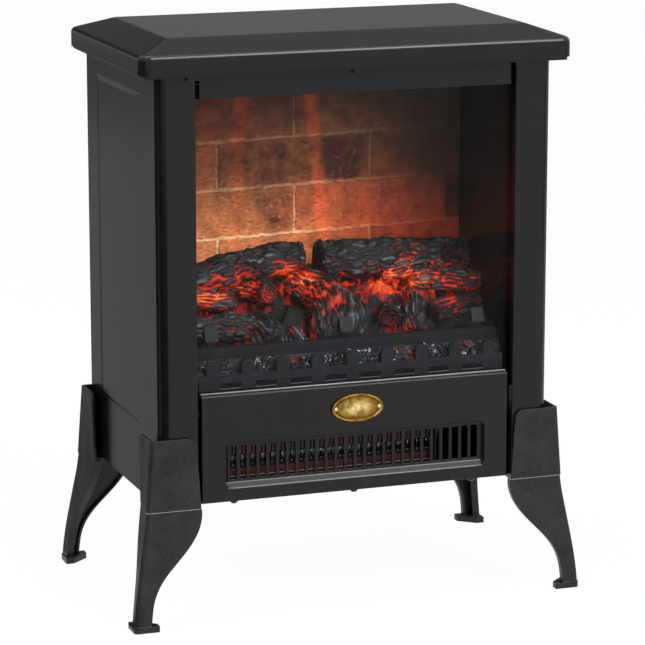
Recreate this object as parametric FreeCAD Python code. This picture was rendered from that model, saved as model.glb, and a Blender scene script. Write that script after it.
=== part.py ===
"""Free-standing electric stove heater: a sheet-steel body on four curved legs, with a lit log fire behind
glass, a fan heater behind the slotted fascia, and its controls on the back.

Millimetres. +X is the viewer's right, -Y is the front, +Z is up. The origin is on the floor, at the middle
of the four feet.
"""
import FreeCAD, Part
import math
import os

V = FreeCAD.Vector
X_AXIS = V(1, 0, 0)
Y_AXIS = V(0, 1, 0)
Z_AXIS = V(0, 0, 1)

# Overall sizes
stove_height = 540.0
body_width = 382.0
body_depth = 232.0
leg_height = 112.0
foot_span_x = 443.0
foot_span_y = 260.0

# Sheet metal, fits and fasteners
sheet = 1.5
flange_width = 13.5
seat_gap = 0.3
running_clearance = 0.05
screw_radius = 2.0
screw_clearance = 0.3
screw_head_radius = 3.8
screw_head_height = 2.4
screw_length = 10.0
screw_head_round = 1.1
motor_shaft_share = 0.7
motor_bore_share = 0.8

# How far cutting and joining shapes run past a face, and how near counts as the same place
over = 1.0
tiny = 0.01

# Lid and the frame under it
lid_width = 416.0
lid_depth = 241.0
lid_face_height = 17.5
lid_rise = 12.0
lid_hip_run = 34.5
lid_corner_radius = 10.0
lid_panel_corner_radius = 4.0
lid_edge_radius = 5.0
lid_panel_edge_radius = 12.0
lid_return_width = 28.0
lid_frame_height = 3.0
lid_frame_inset = 4.0
lid_frame_bar = 30.0
lid_tab_width = 12.0
lid_tab_thickness = 3.0
lid_tab_drop = 3.0
lid_tab_pitch = 158.0
lid_screw_pitch = 80.0
base_screw_reach = 40.0

# Side panels and front posts
body_corner_radius = 9.5
post_width = 36.0
post_return_depth = 8.0
field_rise = 1.0
field_slope = 4.5
field_rear_slope = 9.0
field_front_slope = 34.0
field_front_margin = 44.0
field_rear_margin = 36.0
field_bottom_margin = 65.0
field_top_margin = 20.0

# Front infill: header rail above, fascia below, glass between
infill_set_back = 2.0
infill_gap = 4.0
header_height = 21.0
header_return_depth = 16.0
header_screw_inset = 9.6
header_screw_reach = 100.0
fascia_height = 100.5
fascia_wall = 2.5
fascia_chamfer = 1.4
fascia_foot_depth = 16.0
fascia_screw_pitch = 118.0
fascia_screw_inset = 8.5
fascia_screw_head_height = 3.6
fascia_screw_length = 7.0
glass_thickness = 4.0
glass_bottom_lap = 14.0
glass_top_lap = 13.0
glass_side_lap = 17.0

# Outlet grille in the fascia
grille_width = 256.0
grille_height = 43.5
grille_bottom_margin = 11.5
grille_corner_radius = 6.0
grille_depth = 5.0
grille_sill_rise = 5.0
grille_head_drop = 1.5
slot_count = 26
slot_pitch = 9.55
slot_width = 6.2
slot_corner_radius = 1.2
slot_sill_margin = 2.4
slot_head_margin = 3.4

# Oval badge plate
badge_width = 51.0
badge_height = 26.4
badge_thickness = 1.4
badge_rim = 2.0
badge_rim_rise = 0.7
badge_drop = 22.0
badge_pin_radius = 1.1
badge_pin_head_radius = 1.65
badge_pin_length = 4.0
badge_pin_margin = 4.2

# Firebox
firebox_width = 324.0
firebox_depth = 152.0
backdrop_thickness = 3.0
brick_length = 155.0
brick_height = 46.7
brick_joint = 5.0
brick_relief = 0.8
brick_bed_height = 131.0
brick_bond_offset = -12.0
liner_front_flange = 16.0
liner_lip = 10.0
hanger_depth = 14.0

# Fire fret
fret_gap = 0.5
fret_half_length = 150.0
fret_fence_thickness = 4.0
fret_fence_height = 30.0
fret_merlon_count = 9
fret_merlon_pitch = 34.1
fret_merlon_width = 12.5
fret_merlon_height = 13.5
fret_merlon_bevel = 3.0
fret_slot_width = 20.0
fret_slot_height = 5.5
fret_slot_drop = 7.5
fret_slot_depth = 1.5
fret_ledge_depth = 11.5
fret_ledge_start = 25.0
fret_ledge_end = 41.0
fret_rail_depth = 8.0
fret_rail_height = 52.0
fret_wall = 3.0
dog_head_size = 13.0
dog_head_depth = 8.0
dog_head_lean = 6.0
dog_stem_width = 8.0
dog_stem_height = 6.0
dog_head_pitch = 132.0

# Log bed
bed_half_length = 158.0
bed_gap = 0.5
bed_front_height = 34.0
bed_middle_height = 70.0
bed_rear_height = 100.0
bed_wall = 6.0

# Heater, behind the grille
heater_width = 210.0
heater_offset = -22.0
heater_gap = 2.5
duct_height = 52.0
duct_depth = 44.0
duct_sheet = 1.0
mica_thickness = 1.0
mica_set_back = 12.0
mica_height = 15.0
mica_middle_gap = 9.0
ribbon_pitch = 5.0
ribbon_width = 0.9
ribbon_depth = 2.0
ribbon_overrun = 2.0
cutout_radius = 8.0
cutout_height = 6.0
cutout_tag_width = 3.0
cutout_tag_thickness = 0.8
cutout_tag_height = 5.0

# Cross-flow fan
fan_housing_depth = 56.0
fan_radius = 21.0
fan_end_gap = 4.0
fan_disc_thickness = 1.2
fan_disc_count = 4
fan_blade_count = 20
fan_blade_chord = 7.0
fan_blade_thickness = 0.9
fan_blade_pitch_deg = 35.0
fan_shaft_radius = 2.5
fan_bush_radius = 5.0
fan_bush_flange_radius = 8.0
fan_bush_flange = 3.0
fan_bush_nose = 2.0
fan_motor_radius = 20.0
fan_motor_length = 28.0
fan_motor_boss_radius = 10.0
fan_motor_boss_length = 4.0
fan_inlet_height = 30.0
base_vent_count = 12
base_vent_width = 5.0
base_vent_pitch = 15.0
base_vent_length = 34.0

# Flame effect, behind the backdrop
flame_shelf_rise = 25.0
flame_shelf_gap = 2.5
spindle_rise = 38.0
spindle_set_back = 33.0
spindle_radius = 3.0
spindle_length = 300.0
foil_radius = 22.0
foil_length = 24.0
foil_thickness = 0.6
foil_count = 11
foil_turn_deg = 65.0
spindle_bracket_width = 30.0
spindle_bracket_head = 12.0
spindle_motor_radius = 16.0
spindle_motor_length = 16.0
light_strip_depth = 12.0
light_strip_thickness = 1.6
lamp_count = 9
lamp_pitch = 32.0
lamp_radius = 2.6
shield_height = 74.0
shield_gap = 6.0

# Back panel and controls
back_screw_low_margin = 88.0
back_screw_top_margin = 27.5
back_vent_count = 6
back_vent_pitch = 11.0
back_vent_width = 4.0
back_vent_length = 96.0
back_vent_rise = 16.0
control_x = 95.0
control_drop = 77.5
bezel_width = 132.0
bezel_height = 50.0
bezel_thickness = 2.5
bezel_corner_radius = 6.0
bezel_lap = 9.0
rocker_pitch = 22.0
rocker_row_offset = 44.0
rocker_width = 10.4
rocker_half_height = 8.3
rocker_pivot_depth = 8.0
rocker_heel_depth = 4.4
rocker_shoulder = 1.0
rocker_taper = 0.6
rocker_face_rise = 0.6
rocker_dish = 1.0
rocker_tilt_deg = 8.0
rocker_side_gap = 0.4
rocker_end_gap = 2.1
rocker_pin_radius = 1.5
rocker_pin_reach = 2.1
switch_wall = 2.6
switch_depth = 22.0
switch_tag_width = 6.0
switch_tag_thickness = 0.8
switch_tag_length = 7.0
switch_tag_pitch = 6.0
knob_offset = 36.0
knob_radius = 16.0
knob_height = 9.5
knob_chamfer = 1.2
knob_mark_width = 1.6
knob_mark_depth = 0.6
knob_mark_start = 4.0
knob_gap = 1.0
knob_flute_count = 16
knob_flute_radius = 1.6
knob_shaft_radius = 3.0
knob_shaft_reach = 12.0
knob_hole_gap = 2.0
thermostat_radius = 14.0
thermostat_depth = 24.0

# Mains inlet
gland_x = -120.0
gland_rise = 28.0
gland_bore_radius = 4.2
gland_thread_radius = 7.0
gland_flange_radius = 10.0
gland_flange_depth = 9.0
gland_edge_round = 2.5
gland_inner_length = 16.0
gland_nut_radius = 11.0
gland_nut_depth = 6.0
terminal_x = 130.0
terminal_y = 78.0
terminal_length = 40.0
terminal_depth = 16.0
terminal_height = 13.0
terminal_ways = 3
terminal_bore_radius = 2.6
terminal_bore_height = 5.2
terminal_screw_radius = 3.3
terminal_screw_seat = 6.4

# Legs: the cuff stands off the body, and the shank curves down to a small foot
leg_wall = 3.0
cuff_height = 65.0
cuff_front_gap = 0.8
cuff_top_stand_off = 10.0
cuff_knee_stand_off = 15.5
cuff_top_front_wall = 43.0
cuff_top_side_wall = 39.0
cuff_round = 9.0
knee_drop = 2.0
seam_step = 0.6
leg_edge_radius = 4.0
leg_lip = 7.0
leg_platform = 4.0
foot_thickness = 6.0
foot_overhang = 0.5
foot_length_x = 24.0
foot_length_y = 22.0
foot_heel = 8.0
leg_screw_inset_a = (19.0, 26.0)
leg_screw_inset_b = (31.0, 10.0)

# Shank stations from knee to ankle: share of the knee's height, share of the splay, width of the front
# wall, width of the side wall, and how far the side wall's free edge tucks in
shank_stations = (
    (1.00, 0.00, 53.0, 41.0, 6.5),
    (0.86, 0.12, 53.0, 40.0, 6.0),
    (0.70, 0.32, 46.0, 34.0, 5.0),
    (0.52, 0.55, 31.0, 24.0, 3.5),
    (0.34, 0.77, 19.5, 17.5, 2.5),
    (0.18, 0.92, 16.5, 15.5, 2.0),
    (0.045, 1.00, 16.0, 15.0, 1.5),
)

# Where the main planes lie
half_x = body_width / 2
half_y = body_depth / 2
front_face = -half_y
back_face = half_y
skin_inside = half_x - sheet
lid_bottom = stove_height - lid_rise - lid_face_height
lid_shoulder = lid_bottom + lid_face_height
lid_front = back_face - lid_depth
body_top = lid_bottom - lid_frame_height
base_top = leg_height + sheet
post_inner = half_x - post_width
infill_front = front_face + infill_set_back
infill_half = post_inner - infill_gap
glass_front = front_face + post_return_depth
glass_back = glass_front + glass_thickness
bend_end = front_face + body_corner_radius
plate_front = max(glass_front + seat_gap, bend_end)
hanger_front = max(glass_front + over, bend_end)
glass_half = post_inner + glass_side_lap
fascia_top = base_top + fascia_height
header_bottom = body_top - header_height
floor_top = fascia_top - glass_bottom_lap
glass_top = header_bottom + glass_top_lap
roof_under = glass_top + seat_gap
firebox_half = firebox_width / 2
backdrop_front = front_face + firebox_depth
backdrop_back = backdrop_front + backdrop_thickness
panel_rear = back_face - sheet
grille_bottom = base_top + grille_bottom_margin
grille_top = grille_bottom + grille_height
grille_pocket = infill_front + grille_depth
grille_back = grille_pocket + fascia_wall
heater_axis_z = (grille_bottom + grille_top) / 2
heater_left = heater_offset - heater_width / 2
heater_right = heater_offset + heater_width / 2
duct_front = grille_back + heater_gap
duct_back = duct_front + duct_depth
duct_bottom = heater_axis_z - duct_height / 2
duct_top = heater_axis_z + duct_height / 2
fan_back = duct_back + fan_housing_depth
fan_axis_y = duct_back + fan_housing_depth / 2
flame_shelf_top = floor_top + flame_shelf_rise + sheet
flame_shelf_front = backdrop_back + sheet + flame_shelf_gap
spindle_axis_y = flame_shelf_front + spindle_set_back
spindle_axis_z = flame_shelf_top + spindle_rise
bezel_face = back_face + bezel_thickness
control_height = body_top - control_drop
gland_height = leg_height + gland_rise
back_vent_height = leg_height + back_vent_rise
back_screw_low = leg_height + back_screw_low_margin
back_screw_high = body_top - back_screw_top_margin
screw_hole_radius = screw_radius + screw_clearance


def box(x0, x1, y0, y1, z0, z1):
    return Part.makeBox(x1 - x0, y1 - y0, z1 - z0, V(x0, y0, z0))


def wide_box(half, y0, y1, z0, z1):
    return box(-half, half, y0, y1, z0, z1)


def rod(radius, start, axis, length):
    return Part.makeCylinder(radius, length, start, axis)


def prism(corners, travel):
    outline = Part.makePolygon(corners + corners[:1])
    return Part.Face(outline).extrude(travel)


def prism_x(profile, x0, x1):
    return prism([V(x0, y, z) for y, z in profile], V(x1 - x0, 0, 0))


def prism_y(profile, y0, y1):
    return prism([V(x, y0, z) for x, z in profile], V(0, y1 - y0, 0))


def prism_z(profile, z0, z1):
    return prism([V(x, y, z0) for x, y in profile], V(0, 0, z1 - z0))


def fuse(shapes):
    return shapes[0].multiFuse(shapes[1:]).removeSplitter()


def mirror_x(shape):
    return shape.mirror(V(0, 0, 0), X_AXIS)


def mirror_y(shape):
    return shape.mirror(V(0, 0, 0), Y_AXIS)


def line(start, end):
    return Part.LineSegment(start, end).toShape()


def arc(start, middle, end):
    return Part.Arc(start, middle, end).toShape()


def rounded_rectangle(a0, a1, b0, b1, radius, place):
    """Closed wire of a rectangle with round corners; place turns the pair (a, b) into a point."""
    corners = ((a1 - radius, b0 + radius, -90), (a1 - radius, b1 - radius, 0),
               (a0 + radius, b1 - radius, 90), (a0 + radius, b0 + radius, 180))
    arcs = []
    for centre_a, centre_b, start in corners:
        points = []
        for turn in (0, 45, 90):
            angle = math.radians(start + turn)
            points.append(place(centre_a + radius * math.cos(angle), centre_b + radius * math.sin(angle)))
        arcs.append(points)
    edges = []
    for index, points in enumerate(arcs):
        edges.append(arc(*points))
        edges.append(line(points[2], arcs[(index + 1) % 4][0]))
    return Part.Wire(edges)


def rounded_plate_y(a0, a1, b0, b1, radius, y0, y1):
    """Plate with round corners that faces along Y."""
    wire = rounded_rectangle(a0, a1, b0, b1, radius, lambda a, b: V(a, y0, b))
    return Part.Face(wire).extrude(V(0, y1 - y0, 0))


def screw(seat, axis, head_height=screw_head_height, length=screw_length):
    """Pan-head screw whose head bears on seat and whose shank runs along axis."""
    head = rod(screw_head_radius, seat - axis * head_height, axis, head_height)
    edges = [edge for edge in head.Edges if abs((edge.CenterOfMass - seat).dot(axis) + head_height) < tiny]
    head = head.makeFillet(screw_head_round, edges)
    return head.fuse(rod(screw_radius, seat, axis, length)).removeSplitter()


def screw_hole(x, y, z0, z1):
    return rod(screw_hole_radius, V(x, y, z0), Z_AXIS, z1 - z0)


# Screw places that several pieces share
lid_screw_x = (half_x - flange_width + skin_inside) / 2
lid_screw_places = [(side * lid_screw_x, row * lid_screw_pitch) for side in (-1, 1) for row in (-1, 0, 1)]
header_screw_y = infill_front + header_screw_inset
header_screw_places = [(side * header_screw_reach, header_screw_y) for side in (-1, 1)]
top_screw_places = lid_screw_places + header_screw_places
base_screw_places = [(side * lid_screw_x, row * base_screw_reach) for side in (-1, 1) for row in (-1, 1)]
fascia_screw_y = infill_front + fascia_screw_inset
fascia_screw_places = [(step * fascia_screw_pitch, fascia_screw_y) for step in (-1, 0, 1)]
leg_screw_places = [(sx * (half_x - inset_x), sy * (half_y - inset_y))
                    for inset_x, inset_y in (leg_screw_inset_a, leg_screw_inset_b)
                    for sx in (-1, 1) for sy in (-1, 1)]
back_screw_heights = (back_screw_low, (back_screw_low + back_screw_high) / 2, back_screw_high)
back_screw_places = [(side * lid_screw_x, z) for side in (-1, 1) for z in back_screw_heights]
bezel_screw_x = bezel_width / 2 - bezel_lap / 2 - screw_clearance
badge_pin_reach = badge_width / 2 - badge_pin_margin


# Lid: hipped pressing with a turned-in flange, on a shallow frame
def lid_ring(inset, z):
    share = min(inset / lid_hip_run, 1.0)
    radius = lid_corner_radius + (lid_panel_corner_radius - lid_corner_radius) * share
    return rounded_rectangle(-lid_width / 2 + inset, lid_width / 2 - inset, lid_front + inset,
                             back_face - inset, radius, lambda a, b: V(a, b, z))


def lid_profile():
    """Inset and height of each ring from the rim to the flat panel, with both bends rounded."""
    slope = math.atan2(lid_rise, lid_hip_run)
    turn = math.pi / 2 - slope
    run = lid_edge_radius * math.tan(turn / 2)
    rings = [(0.0, lid_bottom)]
    for step in range(4):
        angle = turn * step / 3
        rings.append((lid_edge_radius * (1 - math.cos(angle)),
                      lid_shoulder - run + lid_edge_radius * math.sin(angle)))
    top_run = lid_panel_edge_radius * math.tan(slope / 2)
    for step in range(3):
        angle = slope * (1 - step / 2)
        rings.append((lid_hip_run + top_run - lid_panel_edge_radius * math.sin(angle),
                      stove_height - lid_panel_edge_radius * (1 - math.cos(angle))))
    return rings


def top_lid():
    outside = Part.makeLoft([lid_ring(inset, z) for inset, z in lid_profile()], True, True)
    hollow = Part.makeLoft([lid_ring(sheet, lid_bottom + sheet), lid_ring(sheet, lid_shoulder - sheet),
                            lid_ring(lid_hip_run + sheet, stove_height - sheet)], True, True)
    mouth = wide_box(lid_width / 2 - lid_return_width, lid_front + lid_return_width,
                     back_face - lid_return_width, lid_bottom - over, lid_bottom + 2 * sheet)
    holes = [screw_hole(x, y, lid_bottom - over, lid_bottom + 2 * sheet) for x, y in top_screw_places]
    return outside.cut([hollow, mouth] + holes)


def lid_frame():
    half = lid_width / 2 - lid_frame_inset
    front = lid_front + lid_frame_inset
    ring = wide_box(half, front, back_face, body_top, lid_bottom)
    opening = wide_box(half - lid_frame_bar, front + lid_frame_bar, back_face - lid_frame_bar,
                       body_top - over, lid_bottom + over)
    tabs = [box(step * lid_tab_pitch - lid_tab_width / 2, step * lid_tab_pitch + lid_tab_width / 2,
                front, front + lid_tab_thickness, body_top - lid_tab_drop, body_top + sheet)
            for step in (-1, 0, 1)]
    holes = [screw_hole(x, y, body_top - over, lid_bottom + over) for x, y in top_screw_places]
    return fuse([ring] + tabs).cut([opening] + holes)


def lid_screws():
    seat = body_top - sheet
    return Part.makeCompound([screw(V(x, y, seat), Z_AXIS) for x, y in top_screw_places])


# Side panels: one folded sheet each, from the back edge round the corner to the window
def right_side_panel():
    outer = body_corner_radius
    inner = body_corner_radius - sheet
    bend = V(half_x - outer, front_face + outer, leg_height)
    diagonal = V(1, -1, 0).normalize()
    corners = [V(half_x, panel_rear, leg_height), bend + X_AXIS * outer, bend - Y_AXIS * outer,
               V(post_inner, front_face, leg_height), V(post_inner, glass_front, leg_height),
               V(post_inner + sheet, glass_front, leg_height),
               V(post_inner + sheet, front_face + sheet, leg_height), bend - Y_AXIS * inner,
               bend + X_AXIS * inner, V(skin_inside, panel_rear, leg_height)]
    edges = []
    for start, end in zip(corners, corners[1:] + corners[:1]):
        edges.append(line(start, end))
    edges[1] = arc(corners[1], bend + diagonal * outer, corners[2])
    edges[7] = arc(corners[7], bend + diagonal * inner, corners[8])
    skin = Part.Face(Part.Wire(edges)).extrude(V(0, 0, body_top - leg_height))

    def field(x, rise):
        rings = []
        for share in (0, 1):
            plane = x + share * rise
            y0 = front_face + field_front_margin + share * field_front_slope
            y1 = back_face - field_rear_margin - share * field_rear_slope
            z0 = leg_height + field_bottom_margin + share * field_slope
            z1 = body_top - field_top_margin - share * field_slope
            rings.append(Part.makePolygon([V(plane, y0, z0), V(plane, y1, z0), V(plane, y1, z1),
                                           V(plane, y0, z1), V(plane, y0, z0)]))
        return Part.makeLoft(rings, True, True)

    flange_inner = half_x - flange_width
    flange_reach = half_y - 2 * flange_width
    rear_flange = box(flange_inner, skin_inside, panel_rear - sheet, panel_rear, base_top, body_top)
    top_flange = box(flange_inner, skin_inside, -flange_reach, flange_reach, body_top - sheet, body_top)
    bottom_flange = box(flange_inner, skin_inside, -flange_reach, flange_reach, base_top, base_top + sheet)
    panel = fuse([skin, field(half_x, field_rise), rear_flange, top_flange, bottom_flange])
    holes = [screw_hole(x, y, body_top - 2 * sheet, body_top + over) for x, y in lid_screw_places]
    holes += [screw_hole(x, y, base_top - over, base_top + 2 * sheet) for x, y in base_screw_places]
    holes += [rod(screw_hole_radius, V(x, panel_rear - 2 * sheet, z), Y_AXIS, 3 * sheet)
              for x, z in back_screw_places]
    return panel.cut([field(skin_inside, field_rise)] + holes)


# Base plate: carries the legs below, and the fan heater and fascia above
def base_plate():
    half = skin_inside - seat_gap
    plate = wide_box(half, glass_front + seat_gap, panel_rear - seat_gap, leg_height, base_top)
    tongue = wide_box(infill_half, infill_front + fascia_wall + seat_gap, glass_front + over, leg_height,
                      base_top)
    vents = []
    for index in range(base_vent_count):
        x = heater_offset + (index - (base_vent_count - 1) / 2) * base_vent_pitch
        vents.append(box(x - base_vent_width / 2, x + base_vent_width / 2, fan_axis_y - base_vent_length / 2,
                         fan_axis_y + base_vent_length / 2, leg_height - over, base_top + over))
    holes = [screw_hole(x, y, leg_height - over, base_top + over)
             for x, y in base_screw_places + fascia_screw_places + leg_screw_places]
    return fuse([plate, tongue]).cut(vents + holes)


def base_screws():
    return Part.makeCompound([screw(V(x, y, leg_height), Z_AXIS) for x, y in base_screw_places])


# Header rail: folded strip above the window
def header_rail():
    face = wide_box(infill_half, infill_front, infill_front + sheet, header_bottom, body_top)
    top = wide_box(infill_half, infill_front, infill_front + header_return_depth, body_top - sheet, body_top)
    bottom = wide_box(infill_half, infill_front, glass_front, header_bottom, header_bottom + sheet)
    holes = [screw_hole(x, y, body_top - 2 * sheet, body_top + over) for x, y in header_screw_places]
    return fuse([face, top, bottom]).cut(holes)


# Lower fascia: moulding with the recessed outlet grille
def grille_slots():
    bottom = grille_bottom + grille_sill_rise + slot_sill_margin
    top = grille_top - grille_head_drop - slot_head_margin
    slots = []
    for index in range(slot_count):
        x = (index - (slot_count - 1) / 2) * slot_pitch
        slots.append(rounded_plate_y(x - slot_width / 2, x + slot_width / 2, bottom, top, slot_corner_radius,
                                     grille_pocket - over, grille_back + over))
    return slots


def lower_fascia():
    half = grille_width / 2
    wall = fascia_wall
    face = wide_box(infill_half, infill_front, infill_front + wall, base_top, fascia_top)
    top = wide_box(infill_half, infill_front, glass_front, fascia_top - wall, fascia_top)
    foot = wide_box(infill_half, infill_front, infill_front + fascia_foot_depth, base_top, base_top + wall)
    cheek = box(infill_half - wall, infill_half, infill_front, glass_front - seat_gap, base_top, fascia_top)
    tub = rounded_plate_y(-half - wall, half + wall, grille_bottom - wall, grille_top + wall,
                          grille_corner_radius + wall, infill_front, grille_back)
    shell = fuse([face, top, foot, cheek, mirror_x(cheek), tub])
    mouth = rounded_plate_y(-half, half, grille_bottom, grille_top, grille_corner_radius,
                            infill_front - over, grille_pocket)
    splay = prism_x([(infill_front - over, grille_bottom), (infill_front, grille_bottom),
                     (grille_pocket, grille_bottom + grille_sill_rise),
                     (grille_pocket, grille_top - grille_head_drop), (infill_front, grille_top),
                     (infill_front - over, grille_top)], -half, half)
    bevel = prism_x([(infill_front, fascia_top), (infill_front, fascia_top - fascia_chamfer),
                     (infill_front + fascia_chamfer, fascia_top)], -infill_half, infill_half)
    holes = [screw_hole(x, y, base_top - over, base_top + 2 * wall) for x, y in fascia_screw_places]
    holes += [rod(badge_pin_radius + running_clearance, V(x, infill_front - over, fascia_top - badge_drop),
                  Y_AXIS, wall + 2 * over) for x in (-badge_pin_reach, badge_pin_reach)]
    return shell.cut([mouth.common(splay), bevel] + grille_slots() + holes)


def fascia_screws():
    seats = [V(x, y, leg_height) for x, y in fascia_screw_places]
    return Part.makeCompound([screw(seat, Z_AXIS, fascia_screw_head_height, fascia_screw_length)
                              for seat in seats])


# Badge plate: blank oval with a raised rim, held by two pins
def oval(half_width, half_height, y0, y1):
    ellipse = Part.Ellipse(V(0, y0, 0), half_width, half_height)
    curve = Part.Wire(ellipse.toShape())
    curve.rotate(V(0, y0, 0), X_AXIS, 90)
    curve.translate(V(0, 0, fascia_top - badge_drop))
    return Part.Face(curve).extrude(V(0, y1 - y0, 0))


def badge_plate():
    half_width = badge_width / 2
    half_height = badge_height / 2
    face = infill_front - badge_thickness
    plate = oval(half_width, half_height, face - badge_rim_rise, infill_front)
    dish = oval(half_width - badge_rim, half_height - badge_rim, face - badge_rim_rise - over, face)
    holes = [rod(badge_pin_radius + running_clearance, V(x, face - over, fascia_top - badge_drop), Y_AXIS,
                 badge_thickness + 2 * over) for x in (-badge_pin_reach, badge_pin_reach)]
    return plate.cut([dish] + holes)


def badge_pins():
    pins = []
    for x in (-badge_pin_reach, badge_pin_reach):
        head_face = infill_front - badge_thickness
        start = V(x, head_face, fascia_top - badge_drop)
        head = rod(badge_pin_head_radius, start - Y_AXIS * badge_rim_rise, Y_AXIS, badge_rim_rise)
        pins.append(head.fuse(rod(badge_pin_radius, start, Y_AXIS, badge_pin_length)).removeSplitter())
    return Part.makeCompound(pins)


# Firebox: glass, floor, roof, liners and the brick backdrop
def window_glass():
    return wide_box(glass_half, glass_front, glass_back, floor_top, glass_top)


def firebox_floor():
    rear = backdrop_back + 2 * sheet
    plate = wide_box(skin_inside, plate_front, rear, floor_top - sheet, floor_top)
    tongue = wide_box(infill_half - fascia_wall - seat_gap, infill_front + fascia_wall + seat_gap,
                      plate_front + over, floor_top - sheet, floor_top)
    hanger = box(skin_inside - sheet, skin_inside, hanger_front, rear, floor_top - hanger_depth, floor_top)
    return fuse([plate, tongue, hanger, mirror_x(hanger)])


def firebox_roof():
    rear = backdrop_back + 2 * sheet
    plate = wide_box(skin_inside, plate_front, rear, roof_under, roof_under + sheet)
    upstand = box(skin_inside - sheet, skin_inside, hanger_front, rear, roof_under, body_top - sheet)
    return fuse([plate, upstand, mirror_x(upstand)])


def right_liner():
    rear = backdrop_back + sheet
    wall = box(firebox_half, firebox_half + sheet, glass_back, rear, floor_top, roof_under)
    flange = box(firebox_half, firebox_half + liner_front_flange, glass_back, glass_back + sheet,
                 floor_top, roof_under)
    lip = box(firebox_half - liner_lip, firebox_half + sheet, backdrop_back, rear, floor_top, roof_under)
    return fuse([wall, flange, lip])


def brick_backdrop():
    """Moulded panel with running-bond joints pressed into its front."""
    half = firebox_half - seat_gap
    panel = wide_box(half, backdrop_front, backdrop_back, floor_top, glass_top)
    depth = backdrop_front + brick_relief
    first_bed = floor_top + brick_bed_height
    course_low = math.floor((floor_top - first_bed) / brick_height)
    course_high = math.ceil((glass_top - first_bed) / brick_height)
    reach = math.ceil(half / brick_length) + 1
    joints = []
    for course in range(course_low, course_high + 1):
        bed = first_bed + course * brick_height
        joints.append(wide_box(half + over, backdrop_front - over, depth, bed - brick_joint / 2,
                               bed + brick_joint / 2))
        shift = brick_bond_offset + (brick_length / 2 if course % 2 else 0.0)
        for step in range(-reach, reach + 1):
            x = shift + step * brick_length
            joints.append(box(x - brick_joint / 2, x + brick_joint / 2, backdrop_front - over, depth,
                              bed, bed + brick_height))
    return panel.cut(joints)


# Fire fret: toothed fence, ember ledge, rail and three dog heads
def fire_fret():
    front = glass_back + fret_gap
    back = front + fret_fence_thickness
    half = fret_half_length
    top = floor_top + fret_fence_height
    pieces = [wide_box(half, front, back, floor_top, top)]
    middle = (fret_merlon_count - 1) / 2
    for index in range(fret_merlon_count):
        x = (index - middle) * fret_merlon_pitch
        side = fret_merlon_width / 2
        peak = top + fret_merlon_height
        shoulder = peak - fret_merlon_bevel
        crown = side - fret_merlon_bevel
        pieces.append(prism_y([(x - side, top - over), (x + side, top - over), (x + side, shoulder),
                               (x + crown, peak), (x - crown, peak), (x - side, shoulder)], front, back))
    ledge_back = back + fret_ledge_depth
    rail_back = ledge_back + fret_rail_depth
    wall = fret_wall
    ledge_low = floor_top + fret_ledge_start
    ledge_high = floor_top + fret_ledge_end
    rail_top = floor_top + fret_rail_height
    pieces.append(prism_x([(back, floor_top), (back, ledge_low), (ledge_back, ledge_high),
                           (ledge_back, rail_top), (rail_back, rail_top), (rail_back, floor_top)],
                          -half, half))
    hollow = prism_x([(back, floor_top - over), (back, ledge_low - wall), (ledge_back, ledge_high - wall),
                      (rail_back - wall, ledge_high), (rail_back - wall, floor_top - over)],
                     wall - half, half - wall)
    middle_y = (ledge_back + rail_back) / 2
    head_front = middle_y - dog_head_depth / 2
    head_back = middle_y + dog_head_depth / 2
    head_low = rail_top + dog_stem_height
    head_high = head_low + dog_head_size
    for step in (-1, 0, 1):
        x = step * dog_head_pitch
        pieces.append(box(x - dog_stem_width / 2, x + dog_stem_width / 2, middle_y, rail_back,
                          rail_top - over, rail_top + dog_stem_height))
        pieces.append(prism_x([(head_front, head_low), (head_back, head_low), (head_back, head_high),
                               (head_front + dog_head_lean, head_high)],
                              x - dog_head_size / 2, x + dog_head_size / 2))
    slot_top = top - fret_slot_drop
    slots = []
    for index in range(fret_merlon_count - 1):
        x = (index - middle + 0.5) * fret_merlon_pitch
        slots.append(box(x - fret_slot_width / 2, x + fret_slot_width / 2, front - over,
                         front + fret_slot_depth, slot_top - fret_slot_height, slot_top))
    return fuse(pieces).cut([hollow] + slots)


bed_front = glass_back + fret_gap + fret_fence_thickness + fret_ledge_depth + fret_rail_depth + bed_gap
bed_back = backdrop_front - bed_gap

# Logs of the bed: start and end as (across from the middle, back from the bed's front, up from the
# firebox floor), then the radius at each end
logs = (
    ((-158.0, 92.0, 81.0), (-10.0, 87.0, 114.0), 17.0, 15.0),
    ((2.0, 88.0, 107.0), (158.0, 94.0, 98.0), 18.0, 15.0),
    ((-76.0, 82.0, 86.0), (-47.0, 42.0, 86.0), 13.0, 14.0),
    ((8.0, 66.0, 72.0), (-3.0, 6.0, 48.0), 21.0, 22.0),
    ((72.0, 68.0, 78.0), (52.0, 20.0, 62.0), 13.0, 14.0),
    ((-158.0, 30.0, 60.0), (-82.0, 24.0, 60.0), 14.0, 13.0),
    ((-76.0, 34.0, 62.0), (-60.0, 7.0, 48.0), 14.0, 15.0),
    ((84.0, 34.0, 60.0), (152.0, 42.0, 66.0), 13.0, 12.0),
    ((96.0, 64.0, 84.0), (158.0, 54.0, 80.0), 13.0, 13.0),
)


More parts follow.
